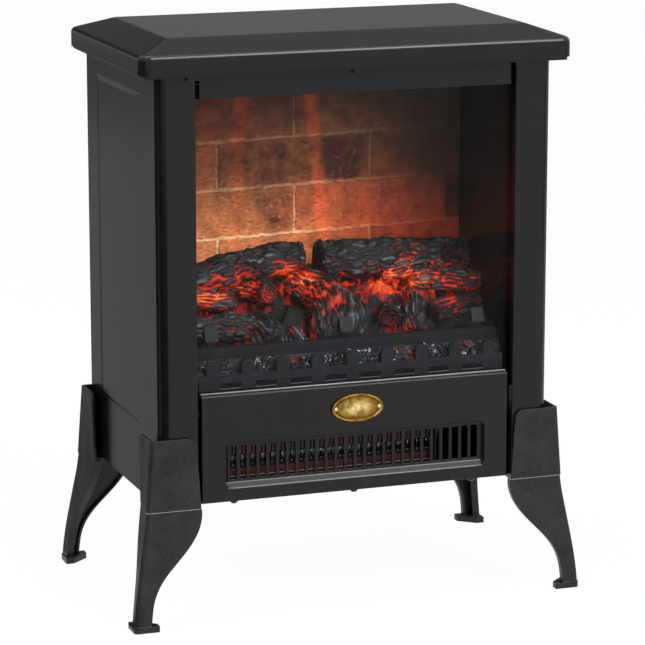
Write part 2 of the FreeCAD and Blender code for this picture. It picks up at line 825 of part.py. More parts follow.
def log_bed():
    """One hollow moulding: a bank of embers with charred logs lying on it."""
    middle = (bed_front + bed_back) / 2
    bank = prism_x([(bed_front, floor_top), (bed_front, floor_top + bed_front_height),
                    (middle, floor_top + bed_middle_height), (bed_back, floor_top + bed_rear_height),
                    (bed_back, floor_top)], -bed_half_length, bed_half_length)
    timbers = []
    for start, end, radius_a, radius_b in logs:
        foot = V(start[0], bed_front + start[1], floor_top + start[2])
        tip = V(end[0], bed_front + end[1], floor_top + end[2])
        run = tip - foot
        foot_ring = Part.Wire(Part.makeCircle(radius_a, foot, run))
        tip_ring = Part.Wire(Part.makeCircle(radius_b, tip, run))
        timbers.append(Part.makeLoft([foot_ring, tip_ring], True, True))
    hollow = prism_x([(bed_front + bed_wall, floor_top - over),
                      (bed_front + bed_wall, floor_top + bed_front_height - 2 * bed_wall),
                      (middle, floor_top + bed_middle_height - 2 * bed_wall),
                      (bed_back - bed_wall, floor_top + bed_rear_height - 2 * bed_wall),
                      (bed_back - bed_wall, floor_top - over)],
                     bed_wall - bed_half_length, bed_half_length - bed_wall)
    room = wide_box(bed_half_length, bed_front, bed_back, floor_top, roof_under)
    return fuse([bank] + timbers).common(room).cut(hollow)


def light_strip(half, y0, y1, z):
    """Narrow board with a row of small lamps along it."""
    board = wide_box(half, y0, y1, z, z + light_strip_thickness)
    lamps = []
    for index in range(lamp_count):
        x = (index - (lamp_count - 1) / 2) * lamp_pitch
        lamps.append(rod(lamp_radius, V(x, (y0 + y1) / 2, z), Z_AXIS, light_strip_thickness + lamp_radius))
    return fuse([board] + lamps)


def ember_light_strip():
    middle = (bed_front + bed_back) / 2
    return light_strip(lamp_pitch * lamp_count / 2, middle - light_strip_depth / 2,
                       middle + light_strip_depth / 2, floor_top)


# Fan heater: duct, mica boards and heating ribbon
def heater_duct():
    outside = box(heater_left, heater_right, duct_front, duct_back, duct_bottom, duct_top)
    inside = box(heater_left + duct_sheet, heater_right - duct_sheet, duct_front - over, duct_back + over,
                 duct_bottom + duct_sheet, duct_top - duct_sheet)
    feet_front = infill_front + fascia_foot_depth + seat_gap
    feet = [box(x, x + duct_sheet, feet_front, duct_back, base_top, duct_bottom + duct_sheet)
            for x in (heater_left, heater_right - duct_sheet)]
    return fuse([outside] + feet).cut(inside)


mica_front = duct_front + mica_set_back


def mica_boards():
    boards = []
    for side in (-1, 1):
        near = heater_axis_z + side * mica_middle_gap / 2
        far = near + side * mica_height
        boards.append(box(heater_left + duct_sheet, heater_right - duct_sheet, mica_front,
                          mica_front + mica_thickness, min(near, far), max(near, far)))
    return Part.makeCompound(boards)


def heating_ribbon():
    """One flat ribbon that runs up and down across both boards."""
    y0 = mica_front + mica_thickness
    y1 = y0 + ribbon_depth
    top = heater_axis_z + mica_middle_gap / 2 + mica_height - ribbon_overrun
    bottom = heater_axis_z - mica_middle_gap / 2 - mica_height + ribbon_overrun
    span = heater_width - 2 * duct_sheet - 2 * ribbon_pitch
    runs = int(span // ribbon_pitch)
    first = heater_offset - (runs - 1) * ribbon_pitch / 2
    strips = []
    for index in range(runs):
        x = first + index * ribbon_pitch
        strips.append(box(x - ribbon_width / 2, x + ribbon_width / 2, y0, y1, bottom, top))
        if index < runs - 1:
            z = top if index % 2 else bottom + ribbon_width
            strips.append(box(x + ribbon_width / 2, x + ribbon_pitch - ribbon_width / 2, y0, y1,
                              z - ribbon_width, z))
    print("least gap between runs of the heating ribbon:", round(ribbon_pitch - ribbon_width, 2), "mm")
    return fuse(strips)


def thermal_cutout():
    middle = V(heater_offset, (duct_front + duct_back) / 2, duct_top)
    cap = rod(cutout_radius, middle, Z_AXIS, cutout_height)
    half_width = cutout_tag_width / 2
    half_depth = cutout_tag_thickness / 2
    cap_top = duct_top + cutout_height
    tags = []
    for x in (middle.x - cutout_radius / 2, middle.x + cutout_radius / 2):
        tags.append(box(x - half_width, x + half_width, middle.y - half_depth, middle.y + half_depth,
                        cap_top - over, cap_top + cutout_tag_height))
    return fuse([cap] + tags)


# Cross-flow fan: housing, wheel, bush and motor on one axis along X
fan_axis = V(0, fan_axis_y, heater_axis_z)


def on_fan_axis(x):
    return fan_axis + X_AXIS * x


def fan_housing():
    outside = box(heater_left, heater_right, duct_back, fan_back, duct_bottom, duct_top)
    inside = box(heater_left + duct_sheet, heater_right - duct_sheet, duct_back - over, fan_back - duct_sheet,
                 duct_bottom + duct_sheet, duct_top - duct_sheet)
    feet = [box(x, x + duct_sheet, duct_back, fan_back, base_top, duct_bottom + duct_sheet)
            for x in (heater_left, heater_right - duct_sheet)]
    inlet = box(heater_left + 2 * fan_end_gap, heater_right - 2 * fan_end_gap, fan_back - 2 * duct_sheet,
                fan_back + over, heater_axis_z - fan_inlet_height / 2, heater_axis_z + fan_inlet_height / 2)
    through = duct_sheet + 2 * over
    bush_hole = rod(fan_bush_radius + running_clearance, on_fan_axis(heater_left - over), X_AXIS, through)
    shaft_hole = rod(2 * fan_shaft_radius, on_fan_axis(heater_right - duct_sheet - over), X_AXIS, through)
    return fuse([outside] + feet).cut([inside, inlet, bush_hole, shaft_hole])


def fan_bush():
    flange = rod(fan_bush_flange_radius, on_fan_axis(heater_left - fan_bush_flange), X_AXIS, fan_bush_flange)
    nose = rod(fan_bush_radius, on_fan_axis(heater_left), X_AXIS, duct_sheet + fan_bush_nose)
    bore_start = on_fan_axis(heater_left - fan_bush_flange - over)
    bore = rod(fan_shaft_radius + running_clearance, bore_start, X_AXIS,
               fan_bush_flange + duct_sheet + fan_bush_nose + 2 * over)
    return fuse([flange, nose]).cut(bore)


def fan_wheel():
    left = heater_left + duct_sheet + fan_end_gap
    right = heater_right - duct_sheet - fan_end_gap
    shaft_left = heater_left - fan_bush_flange
    shaft_right = heater_right + fan_motor_length * motor_shaft_share
    pieces = [rod(fan_shaft_radius, on_fan_axis(shaft_left), X_AXIS, shaft_right - shaft_left)]
    step = (right - left - fan_disc_thickness) / (fan_disc_count - 1)
    for index in range(fan_disc_count):
        pieces.append(rod(fan_radius, on_fan_axis(left + index * step), X_AXIS, fan_disc_thickness))
    ring = fan_radius - fan_blade_chord / 2 - fan_blade_thickness
    for index in range(fan_blade_count):
        blade = box(left, right, -fan_blade_thickness / 2, fan_blade_thickness / 2,
                    -fan_blade_chord / 2, fan_blade_chord / 2)
        blade.rotate(V(0, 0, 0), X_AXIS, fan_blade_pitch_deg)
        blade.translate(V(0, 0, ring))
        blade.rotate(V(0, 0, 0), X_AXIS, 360.0 * index / fan_blade_count)
        blade.translate(fan_axis)
        pieces.append(blade)
    return fuse(pieces)


def fan_motor():
    can = rod(fan_motor_radius, on_fan_axis(heater_right), X_AXIS, fan_motor_length)
    boss = rod(fan_motor_boss_radius, on_fan_axis(heater_right + fan_motor_length), X_AXIS,
               fan_motor_boss_length)
    bore = rod(fan_shaft_radius + running_clearance, on_fan_axis(heater_right - over), X_AXIS,
               fan_motor_length * motor_bore_share + over)
    return fuse([can, boss]).cut(bore)


# Flame effect: foil spindle over a light strip, on a shelf behind the backdrop
def flame_shelf():
    front = flame_shelf_front
    rear = panel_rear - sheet - flame_shelf_gap
    z0 = flame_shelf_top - sheet
    plate = wide_box(skin_inside, front, rear, z0, flame_shelf_top)
    hanger = box(skin_inside - sheet, skin_inside, front, rear, z0 - hanger_depth, flame_shelf_top)
    return fuse([plate, hanger, mirror_x(hanger)])


spindle_axis = V(0, spindle_axis_y, spindle_axis_z)
spindle_half = spindle_length / 2


def on_spindle_axis(x):
    return spindle_axis + X_AXIS * x


def flame_spindle():
    left = -spindle_half - 2 * sheet
    right = spindle_half + sheet + spindle_motor_length * motor_shaft_share
    pieces = [rod(spindle_radius, on_spindle_axis(left), X_AXIS, right - left)]
    pitch = (spindle_length - 2 * foil_length) / (foil_count - 1)
    for index in range(foil_count):
        x = -spindle_half + foil_length + index * pitch
        for half_turn in (0, 180):
            foil = box(x - foil_length / 2, x + foil_length / 2, -foil_thickness / 2, foil_thickness / 2,
                       0, foil_radius)
            foil.rotate(V(0, 0, 0), X_AXIS, half_turn + index * foil_turn_deg)
            foil.translate(spindle_axis)
            pieces.append(foil)
    return fuse(pieces)


def spindle_bracket(x0, bore_radius):
    """Upright plate on the shelf with a bore for the spindle."""
    half = spindle_bracket_width / 2
    plate = box(x0, x0 + sheet, spindle_axis_y - half, spindle_axis_y + half, flame_shelf_top,
                spindle_axis_z + spindle_bracket_head)
    foot = box(x0, x0 + spindle_bracket_head, spindle_axis_y - half, spindle_axis_y + half, flame_shelf_top,
               flame_shelf_top + sheet)
    bore = rod(bore_radius, on_spindle_axis(x0 - over), X_AXIS, sheet + 2 * over)
    return fuse([plate, foot]).cut(bore)


def spindle_bush_bracket():
    return spindle_bracket(-spindle_half - sheet, spindle_radius + running_clearance)


def spindle_motor_bracket():
    return mirror_x(spindle_bracket(-spindle_half - sheet, 2 * spindle_radius))


def spindle_motor():
    start = spindle_half + sheet
    can = rod(spindle_motor_radius, on_spindle_axis(start), X_AXIS, spindle_motor_length)
    bore = rod(spindle_radius + running_clearance, on_spindle_axis(start - over), X_AXIS,
               spindle_motor_length * motor_bore_share + over)
    return can.cut(bore)


def flame_light_strip():
    y0 = flame_shelf_front + flame_shelf_gap
    return light_strip(lamp_pitch * lamp_count / 2, y0, y0 + light_strip_depth, flame_shelf_top)


def light_shield():
    y0 = spindle_axis_y + foil_radius + shield_gap
    plate = wide_box(spindle_half, y0, y0 + sheet, flame_shelf_top, flame_shelf_top + shield_height)
    foot = wide_box(spindle_half, y0 - shield_gap, y0 + sheet, flame_shelf_top, flame_shelf_top + sheet)
    return fuse([plate, foot])


# Back panel and its screws
def bezel_screw_places():
    return [(control_x + side * bezel_screw_x, control_height) for side in (-1, 1)]


def back_panel():
    panel = wide_box(half_x, panel_rear, back_face, leg_height, body_top)
    half_w = bezel_width / 2 - bezel_lap
    half_h = bezel_height / 2 - bezel_lap
    cuts = [box(control_x - half_w, control_x + half_w, panel_rear - over, back_face + over,
                control_height - half_h, control_height + half_h)]
    for index in range(back_vent_count):
        z = back_vent_height + index * back_vent_pitch
        for x in (-back_vent_length / 2 - back_vent_pitch, back_vent_length / 2 + back_vent_pitch):
            cuts.append(box(x - back_vent_length / 2, x + back_vent_length / 2, panel_rear - over,
                            back_face + over, z - back_vent_width / 2, z + back_vent_width / 2))
    for x, z in back_screw_places + bezel_screw_places():
        cuts.append(rod(screw_hole_radius, V(x, panel_rear - over, z), Y_AXIS, sheet + 2 * over))
    cuts.append(rod(gland_thread_radius + seat_gap, V(gland_x, panel_rear - over, gland_height), Y_AXIS,
                    sheet + 2 * over))
    return panel.cut(cuts)


def back_screws():
    return Part.makeCompound([screw(V(x, back_face, z), -Y_AXIS) for x, z in back_screw_places])


# Control panel: bezel with three rocker switches and the thermostat
rocker_places = [control_x - rocker_row_offset + index * rocker_pitch for index in range(3)]
rocker_pivot_y = bezel_face - rocker_pivot_depth
rocker_room_x = rocker_width / 2 + rocker_side_gap
rocker_room_z = rocker_half_height + rocker_end_gap
knob_x = control_x + knob_offset


def control_bezel():
    plate = rounded_plate_y(control_x - bezel_width / 2, control_x + bezel_width / 2,
                            control_height - bezel_height / 2, control_height + bezel_height / 2,
                            bezel_corner_radius, back_face, bezel_face)
    cuts = [box(x - rocker_room_x, x + rocker_room_x, back_face - over, bezel_face + over,
                control_height - rocker_room_z, control_height + rocker_room_z) for x in rocker_places]
    through = bezel_thickness + 2 * over
    cuts.append(rod(knob_shaft_radius + knob_hole_gap, V(knob_x, back_face - over, control_height), Y_AXIS,
                    through))
    cuts += [rod(screw_hole_radius, V(x, back_face - over, z), Y_AXIS, through)
             for x, z in bezel_screw_places()]
    return plate.cut(cuts)


def bezel_screws():
    return Part.makeCompound([screw(V(x, bezel_face, z), -Y_AXIS) for x, z in bezel_screw_places()])


def switch_bodies():
    bodies = []
    for x in rocker_places:
        half_w = rocker_room_x + switch_wall
        half_h = rocker_room_z + switch_wall
        case = box(x - half_w, x + half_w, back_face - switch_depth, back_face,
                   control_height - half_h, control_height + half_h)
        room = box(x - rocker_room_x, x + rocker_room_x, back_face - switch_depth / 2, back_face + over,
                   control_height - rocker_room_z, control_height + rocker_room_z)
        bore = rod(rocker_pin_radius + running_clearance,
                   V(x - half_w - over, rocker_pivot_y, control_height), X_AXIS, 2 * (half_w + over))
        case_back = back_face - switch_depth
        tags = []
        for step in (-1, 0, 1):
            z = control_height + step * switch_tag_pitch
            tags.append(box(x - switch_tag_width / 2, x + switch_tag_width / 2, case_back - switch_tag_length,
                            case_back, z - switch_tag_thickness / 2, z + switch_tag_thickness / 2))
        bodies.append(fuse([case] + tags).cut([room, bore]))
    return Part.makeCompound(bodies)


def rocker(x):
    """Rocker on its pin, stored tipped to the off side."""
    reach = rocker_pivot_depth + rocker_face_rise
    half = rocker_half_height
    waist = half - rocker_taper
    heel = -rocker_heel_depth
    profile = [(reach, half), (reach - rocker_dish, 0.0), (reach, -half), (rocker_shoulder, -waist),
               (heel, -half / 3), (heel, half / 3), (rocker_shoulder, waist)]
    body = prism_x(profile, -rocker_width / 2, rocker_width / 2)
    pin_half = rocker_room_x + rocker_pin_reach
    body = body.fuse(rod(rocker_pin_radius, V(-pin_half, 0, 0), X_AXIS, 2 * pin_half)).removeSplitter()
    body.rotate(V(0, 0, 0), X_AXIS, -rocker_tilt_deg)
    body.translate(V(x, rocker_pivot_y, control_height))
    return body


def thermostat_body():
    start = V(knob_x, back_face - thermostat_depth, control_height)
    can = rod(thermostat_radius, start, Y_AXIS, thermostat_depth)
    bore_start = start + Y_AXIS * (thermostat_depth - knob_shaft_reach - over)
    bore = rod(knob_shaft_radius + running_clearance, bore_start, Y_AXIS, knob_shaft_reach + 2 * over)
    return can.cut(bore)


def thermostat_knob():
    base = V(knob_x, bezel_face + knob_gap, control_height)
    cap = rod(knob_radius, base, Y_AXIS, knob_height)
    rim = [edge for edge in cap.Edges if abs(edge.CenterOfMass.y - base.y - knob_height) < tiny]
    cap = cap.makeChamfer(knob_chamfer, rim)
    flutes = []
    for index in range(knob_flute_count):
        angle = 2 * math.pi * (index + 0.5) / knob_flute_count
        place = base + V(math.cos(angle), 0, math.sin(angle)) * knob_radius
        flutes.append(rod(knob_flute_radius, place - Y_AXIS * over, Y_AXIS, knob_height + 2 * over))
    cap_face = base.y + knob_height
    mark = box(knob_x - knob_mark_width / 2, knob_x + knob_mark_width / 2, cap_face - knob_mark_depth,
               cap_face + over, control_height + knob_mark_start, control_height + knob_radius)
    shaft = rod(knob_shaft_radius, V(knob_x, back_face - knob_shaft_reach, control_height), Y_AXIS,
                knob_shaft_reach + bezel_thickness + knob_gap + over)
    return cap.cut(flutes + [mark]).fuse(shaft).removeSplitter()


# Mains inlet: gland, its nut, and the terminal block inside
def gland_point(y):
    return V(gland_x, y, gland_height)


def cord_gland():
    flange = rod(gland_flange_radius, gland_point(back_face), Y_AXIS, gland_flange_depth)
    rim = [edge for edge in flange.Edges if abs(edge.CenterOfMass.y - back_face - gland_flange_depth) < tiny]
    flange = flange.makeFillet(gland_edge_round, rim)
    inner_end = back_face - gland_inner_length
    thread = rod(gland_thread_radius, gland_point(inner_end), Y_AXIS, gland_inner_length + over)
    bore = rod(gland_bore_radius, gland_point(inner_end - over), Y_AXIS,
               gland_inner_length + gland_flange_depth + 2 * over)
    return fuse([flange, thread]).cut(bore)


def gland_nut():
    corners = []
    for index in range(6):
        angle = math.pi * index / 3
        corners.append((gland_x + gland_nut_radius * math.cos(angle),
                        gland_height + gland_nut_radius * math.sin(angle)))
    nut = prism_y(corners, panel_rear - gland_nut_depth, panel_rear)
    bore_start = gland_point(panel_rear - gland_nut_depth - over)
    bore = rod(gland_thread_radius + running_clearance, bore_start, Y_AXIS, gland_nut_depth + 2 * over)
    return nut.cut(bore)


def terminal_block():
    half_length = terminal_length / 2
    block = box(terminal_x - half_length, terminal_x + half_length, terminal_y - terminal_depth / 2,
                terminal_y + terminal_depth / 2, base_top, base_top + terminal_height)
    pitch = terminal_length / terminal_ways
    cuts = []
    for index in range(terminal_ways):
        x = terminal_x + (index - (terminal_ways - 1) / 2) * pitch
        bore_start = V(x, terminal_y - terminal_depth, base_top + terminal_bore_height)
        cuts.append(rod(terminal_bore_radius, bore_start, Y_AXIS, 2 * terminal_depth))
        cuts.append(rod(terminal_screw_radius, V(x, terminal_y, base_top + terminal_screw_seat), Z_AXIS,
                        terminal_height))
    return block.cut(cuts)


# Legs: modelled once at the corner with +X and +Y, then mirrored to the other corners
knee_z = leg_height - knee_drop
cuff_y = half_y + cuff_front_gap + leg_wall


def leg_wire(z, corner_x, corner_y, front_wall, side_wall, tuck, lip):
    """Corner section of two walls; lip turns their free edges in."""
    apex = V(corner_x, corner_y, z)
    front_end = apex + V(-front_wall, 0, 0)
    side_end = apex + V(-tuck, -side_wall, 0)
    along_front = V(-1, 0, 0)
    into_front = V(0, -1, 0)
    along_side = (side_end - apex).normalize()
    into_side = V(along_side.y, -along_side.x, 0)
    to_inside = -leg_wall * (1 + into_side.y) / along_side.y
    inside = apex + into_side * leg_wall + along_side * to_inside
    start = apex + along_front * leg_edge_radius
    finish = apex + along_side * leg_edge_radius
    bulge = apex + (along_front + along_side) * leg_edge_radius * (1 - math.sqrt(0.5))
    points = [start, front_end]
    if lip > leg_wall:
        points += [front_end + into_front * lip, front_end + into_front * lip - along_front * leg_wall,
                   front_end + into_front * leg_wall - along_front * leg_wall, inside,
                   side_end + into_side * leg_wall - along_side * leg_wall,
                   side_end + into_side * lip - along_side * leg_wall, side_end + into_side * lip]
    else:
        points += [front_end + into_front * leg_wall, inside, side_end + into_side * leg_wall]
    points += [side_end, finish]
    edges = [line(a, b) for a, b in zip(points, points[1:])]
    edges.append(arc(finish, bulge, start))
    return Part.Wire(edges)


def leg_cuff():
    top = leg_height + cuff_height
    knee = shank_stations[0]
    low = leg_wire(knee_z, half_x + cuff_knee_stand_off, cuff_y, knee[2], knee[3], knee[4], 0.0)
    high = leg_wire(top, half_x + cuff_top_stand_off, cuff_y, cuff_top_front_wall, cuff_top_side_wall, 0.0,
                    0.0)
    cuff = Part.makeLoft([low, high], True, True)
    rounded = []
    for edge in cuff.Edges:
        level = all(abs(vertex.Z - top) < tiny for vertex in edge.Vertexes)
        if level and abs(edge.Length - leg_wall) < leg_wall / 10:
            rounded.append(edge)
    return cuff.makeFillet(cuff_round, rounded)


def leg_shank():
    start_x = half_x + cuff_knee_stand_off - seam_step
    start_y = cuff_y - seam_step
    splay_x = foot_span_x / 2 - foot_overhang - start_x
    splay_y = foot_span_y / 2 - foot_overhang - start_y
    wires = []
    for height, splay, front_wall, side_wall, tuck in shank_stations:
        wires.append(leg_wire(height * knee_z, start_x + splay * splay_x, start_y + splay * splay_y,
                              front_wall, side_wall, tuck, leg_lip))
    return Part.makeLoft(wires, True, False)


def leg_foot():
    x = foot_span_x / 2
    y = foot_span_y / 2
    plate = prism_z([(x, y), (x - foot_length_x, y), (x - foot_length_x, y - foot_heel),
                     (x - foot_heel, y - foot_length_y), (x, y - foot_length_y)], 0.0, foot_thickness)
    upright = [edge for edge in plate.Edges if abs(edge.Length - foot_thickness) < tiny
               and abs(edge.CenterOfMass.x - x) < tiny and abs(edge.CenterOfMass.y - y) < tiny]
    return plate.makeFillet(leg_edge_radius, upright)


def rear_right_leg():
    knee = shank_stations[0]
    inside = leg_wall / 2 + seam_step
    x = half_x + cuff_knee_stand_off
    near_x = x - knee[2] + leg_wall
    near_y = cuff_y - knee[3] + leg_wall
    platform = prism_z([(near_x, cuff_y - inside), (x - inside, cuff_y - inside),
                        (x - knee[4] - inside, near_y), (near_x, near_y)],
                       leg_height - leg_platform, leg_height)
    leg = fuse([leg_shank(), leg_cuff(), leg_foot(), platform])
    holes = [screw_hole(px, py, leg_height - leg_platform - over, leg_height + over)
             for px, py in leg_screw_places if px > 0 and py > 0]
    return leg.cut(holes)


def leg_screws():
    seat = leg_height - leg_platform
    return Part.makeCompound([screw(V(x, y, seat), Z_AXIS) for x, y in leg_screw_places])


rear_right = rear_right_leg()
front_right = mirror_y(rear_right)
right_panel = right_side_panel()
liner = right_liner()

nodes = {
    "top_lid": top_lid(),
    "lid_frame": lid_frame(),
    "lid_screws": lid_screws(),
    "left_side_panel": mirror_x(right_panel),
    "right_side_panel": right_panel,
    "back_panel": back_panel(),
    "back_screws": back_screws(),
    "base_plate": base_plate(),
    "base_screws": base_screws(),
    "header_rail": header_rail(),
    "lower_fascia": lower_fascia(),
    "fascia_screws": fascia_screws(),
    "badge_plate": badge_plate(),
    "badge_pins": badge_pins(),
    "window_glass": window_glass(),
    "firebox_floor": firebox_floor(),
    "firebox_roof": firebox_roof(),
    "left_liner": mirror_x(liner),
    "right_liner": liner,
    "brick_backdrop": brick_backdrop(),
    "fire_fret": fire_fret(),
    "log_bed": log_bed(),
    "ember_light_strip": ember_light_strip(),
    "heater_duct": heater_duct(),
    "mica_boards": mica_boards(),
    "heating_ribbon": heating_ribbon(),
    "thermal_cutout": thermal_cutout(),
    "fan_housing": fan_housing(),
    "fan_bush": fan_bush(),
    "fan_wheel": fan_wheel(),
    "fan_motor": fan_motor(),
    "flame_shelf": flame_shelf(),
    "flame_spindle": flame_spindle(),
    "spindle_bush_bracket": spindle_bush_bracket(),
    "spindle_motor_bracket": spindle_motor_bracket(),
    "spindle_motor": spindle_motor(),
    "flame_light_strip": flame_light_strip(),
    "light_shield": light_shield(),
    "control_bezel": control_bezel(),
    "bezel_screws": bezel_screws(),
    "switch_bodies": switch_bodies(),
    "flame_rocker": rocker(rocker_places[0]),
    "low_heat_rocker": rocker(rocker_places[1]),
    "high_heat_rocker": rocker(rocker_places[2]),
    "thermostat_body": thermostat_body(),
    "thermostat_knob": thermostat_knob(),
    "cord_gland": cord_gland(),
    "gland_nut": gland_nut(),
    "terminal_block": terminal_block(),
    "front_left_leg": mirror_x(front_right),
    "front_right_leg": front_right,
    "rear_left_leg": mirror_x(rear_right),
    "rear_right_leg": rear_right,
    "leg_screws": leg_screws(),
}

os.makedirs("parts", exist_ok=True)
for name, shape in nodes.items():
    shape.exportStep("parts/" + name + ".step")
    print(name, len(shape.Solids), "solids", round(shape.Volume / 1000, 2), "cm3", shape.isValid())
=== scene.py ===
import math

import bmesh
import bpy
from mathutils import Matrix, Vector, noise


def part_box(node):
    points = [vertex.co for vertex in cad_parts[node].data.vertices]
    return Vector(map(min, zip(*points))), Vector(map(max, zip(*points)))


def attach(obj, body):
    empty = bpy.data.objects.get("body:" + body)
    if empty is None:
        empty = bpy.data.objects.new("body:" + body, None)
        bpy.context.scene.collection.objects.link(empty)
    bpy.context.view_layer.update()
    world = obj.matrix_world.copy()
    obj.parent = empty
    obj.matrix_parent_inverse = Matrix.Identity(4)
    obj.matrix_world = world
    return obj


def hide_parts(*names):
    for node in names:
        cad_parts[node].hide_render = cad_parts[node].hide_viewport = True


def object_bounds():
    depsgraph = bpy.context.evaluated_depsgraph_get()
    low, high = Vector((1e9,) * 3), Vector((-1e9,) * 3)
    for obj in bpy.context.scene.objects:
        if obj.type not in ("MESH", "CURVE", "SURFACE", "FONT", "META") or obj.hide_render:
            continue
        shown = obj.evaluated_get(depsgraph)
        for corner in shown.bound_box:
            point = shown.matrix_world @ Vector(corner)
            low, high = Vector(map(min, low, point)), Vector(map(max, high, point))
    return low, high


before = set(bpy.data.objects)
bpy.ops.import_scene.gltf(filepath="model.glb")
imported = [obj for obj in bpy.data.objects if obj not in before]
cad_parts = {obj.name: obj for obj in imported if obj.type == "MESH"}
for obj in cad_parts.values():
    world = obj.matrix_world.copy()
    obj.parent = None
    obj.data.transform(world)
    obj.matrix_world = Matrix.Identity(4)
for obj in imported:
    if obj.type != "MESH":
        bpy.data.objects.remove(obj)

cad_low, cad_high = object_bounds()


# Studio: a pale floor in a white surround, soft boxes above and to the left, and a long lens that looks
# a little down at the stove from the left of its window, as the photograph does.
# Grey and black cards lie where the paint mirrors them, and no camera sees them.
scene = bpy.context.scene
scene.view_settings.view_transform = "Standard"


def srgb(code):
    """Linear colour of an sRGB hex code."""
    channels = [int(code[place:place + 2], 16) / 255 for place in (1, 3, 5)]
    return [c / 12.92 if c <= 0.04045 else ((c + 0.055) / 1.055) ** 2.4 for c in channels] + [1.0]


def add(tree, kind, inputs=(), operation=None, stops=(), **options):
    """Adds a node, by its kind without the family's name. Inputs give its sockets, by name or in order, a
    value or the node, output or list of these that they read. Operation and options are its own settings, and
    stops the places and colours of a ramp."""
    families = ("ShaderNode", "GeometryNode", "FunctionNode", "")
    family = next(family for family in families if hasattr(bpy.types, family + kind))
    node = tree.nodes.new(family + kind)
    if operation:
        options["operation"] = operation
    for option, value in options.items():
        setattr(node, option, value)
    if stops:
        bands = node.color_ramp.elements
        for place, code in stops[1:-1]:
            bands.new(place)
        for band, (place, code) in zip(bands, stops):
            band.position = place
            band.color = srgb(code)
    for socket, value in inputs.items() if isinstance(inputs, dict) else enumerate(inputs):
        for item in value if isinstance(value, list) and not isinstance(value[0], float) else [value]:
            if isinstance(item, bpy.types.Node):
                item = item.outputs[0]
            if isinstance(item, bpy.types.NodeSocket):
                tree.links.new(item, node.inputs[socket])
            else:
                node.inputs[socket].default_value = item
    return node


def blank_material(name):
    """A new material and its empty node tree."""
    material = bpy.data.materials.new(name)
    material.use_nodes = True
    material.node_tree.nodes.clear()
    return material, material.node_tree


def in_view(tree):
    """1 for a ray from the camera, off a shiny surface or through glass, and 0 for one that brings light."""
    path = add(tree, "LightPath").outputs
    seen = add(tree, "Math", (path["Is Camera Ray"], path["Is Glossy Ray"]), "MAXIMUM")
    return add(tree, "Math", (seen, path["Is Transmission Ray"]), "MAXIMUM")


def new_piece(name, mesh, material=None):
    """An object at the origin for a finished mesh."""
    piece = bpy.data.objects.new(name, mesh)
    scene.collection.objects.link(piece)
    if material:
        mesh.materials.clear()
        mesh.materials.append(material)
    return piece


photo_size = 645
focal_pixels = 3138.6
view_turn = math.radians(-19.68)
view_dip = math.radians(12.3)
view_reach = 2.936
view_height = 0.8886
view_centre = 0.0067

lens = bpy.data.cameras.new("photo_camera")
lens.sensor_width = 36.0
lens.lens = focal_pixels / photo_size * lens.sensor_width
lens.clip_end = 50.0
camera = bpy.data.objects.new("photo_camera", lens)
camera.location = (view_centre + view_reach * math.sin(view_turn), -view_reach * math.cos(view_turn),
                   view_height)
camera.rotation_euler = (math.pi / 2 - view_dip, 0.0, view_turn)
scene.collection.objects.link(camera)
scene.camera = camera

fill_level = 0.42
scene.world = bpy.data.worlds.new("white_surround")
scene.world.use_nodes = True
tree = scene.world.node_tree
tree.nodes.clear()
level = add(tree, "MapRange", {"Value": in_view(tree), "To Min": fill_level, "To Max": 1.0})
surround = add(tree, "Background", {"Color": srgb("#ffffff"), "Strength": level})
add(tree, "OutputWorld", (surround,))

floor_half = 9.0
paper_white = 0.965
floor_mesh = bpy.data.meshes.new("studio_floor")
floor_corners = [(x * floor_half, y * floor_half, 0.0) for x, y in ((-1, -1), (1, -1), (1, 1), (-1, 1))]
floor_mesh.from_pydata(floor_corners, [], [(0, 1, 2, 3)])
floor_white, tree = blank_material("white_paper_floor")
share = add(tree, "Math", (in_view(tree), paper_white), "MULTIPLY")
paper = add(tree, "BsdfDiffuse", {"Color": srgb("#f4f4f4")})
glow = add(tree, "Emission", {"Color": srgb("#ffffff"), "Strength": 1.0})
floor_mix = add(tree, "MixShader", (share, paper, glow))
add(tree, "OutputMaterial", (floor_mix,))
studio_floor = new_piece("studio_floor", floor_mesh, floor_white)

aim = Vector((0.0, 0.0, 0.3))
for name, place, width, watts in (("left_softbox", (-2.3, -0.3, 1.5), 1.6, 55.0),
                                  ("top_softbox", (-0.3, 0.1, 2.7), 1.4, 22.0),
                                  ("front_softbox", (0.85, -1.75, 2.15), 1.2, 62.0)):
    lamp = bpy.data.lights.new(name, "AREA")
    lamp.size = width
    lamp.energy = watts
    holder = bpy.data.objects.new(name, lamp)
    holder.location = place
    holder.rotation_euler = (aim - Vector(place)).to_track_quat("-Z", "Y").to_euler()
    # The low box on the left would burn out in the lid, seen from the right.
    holder.visible_glossy = name != "left_softbox"
    scene.collection.objects.link(holder)

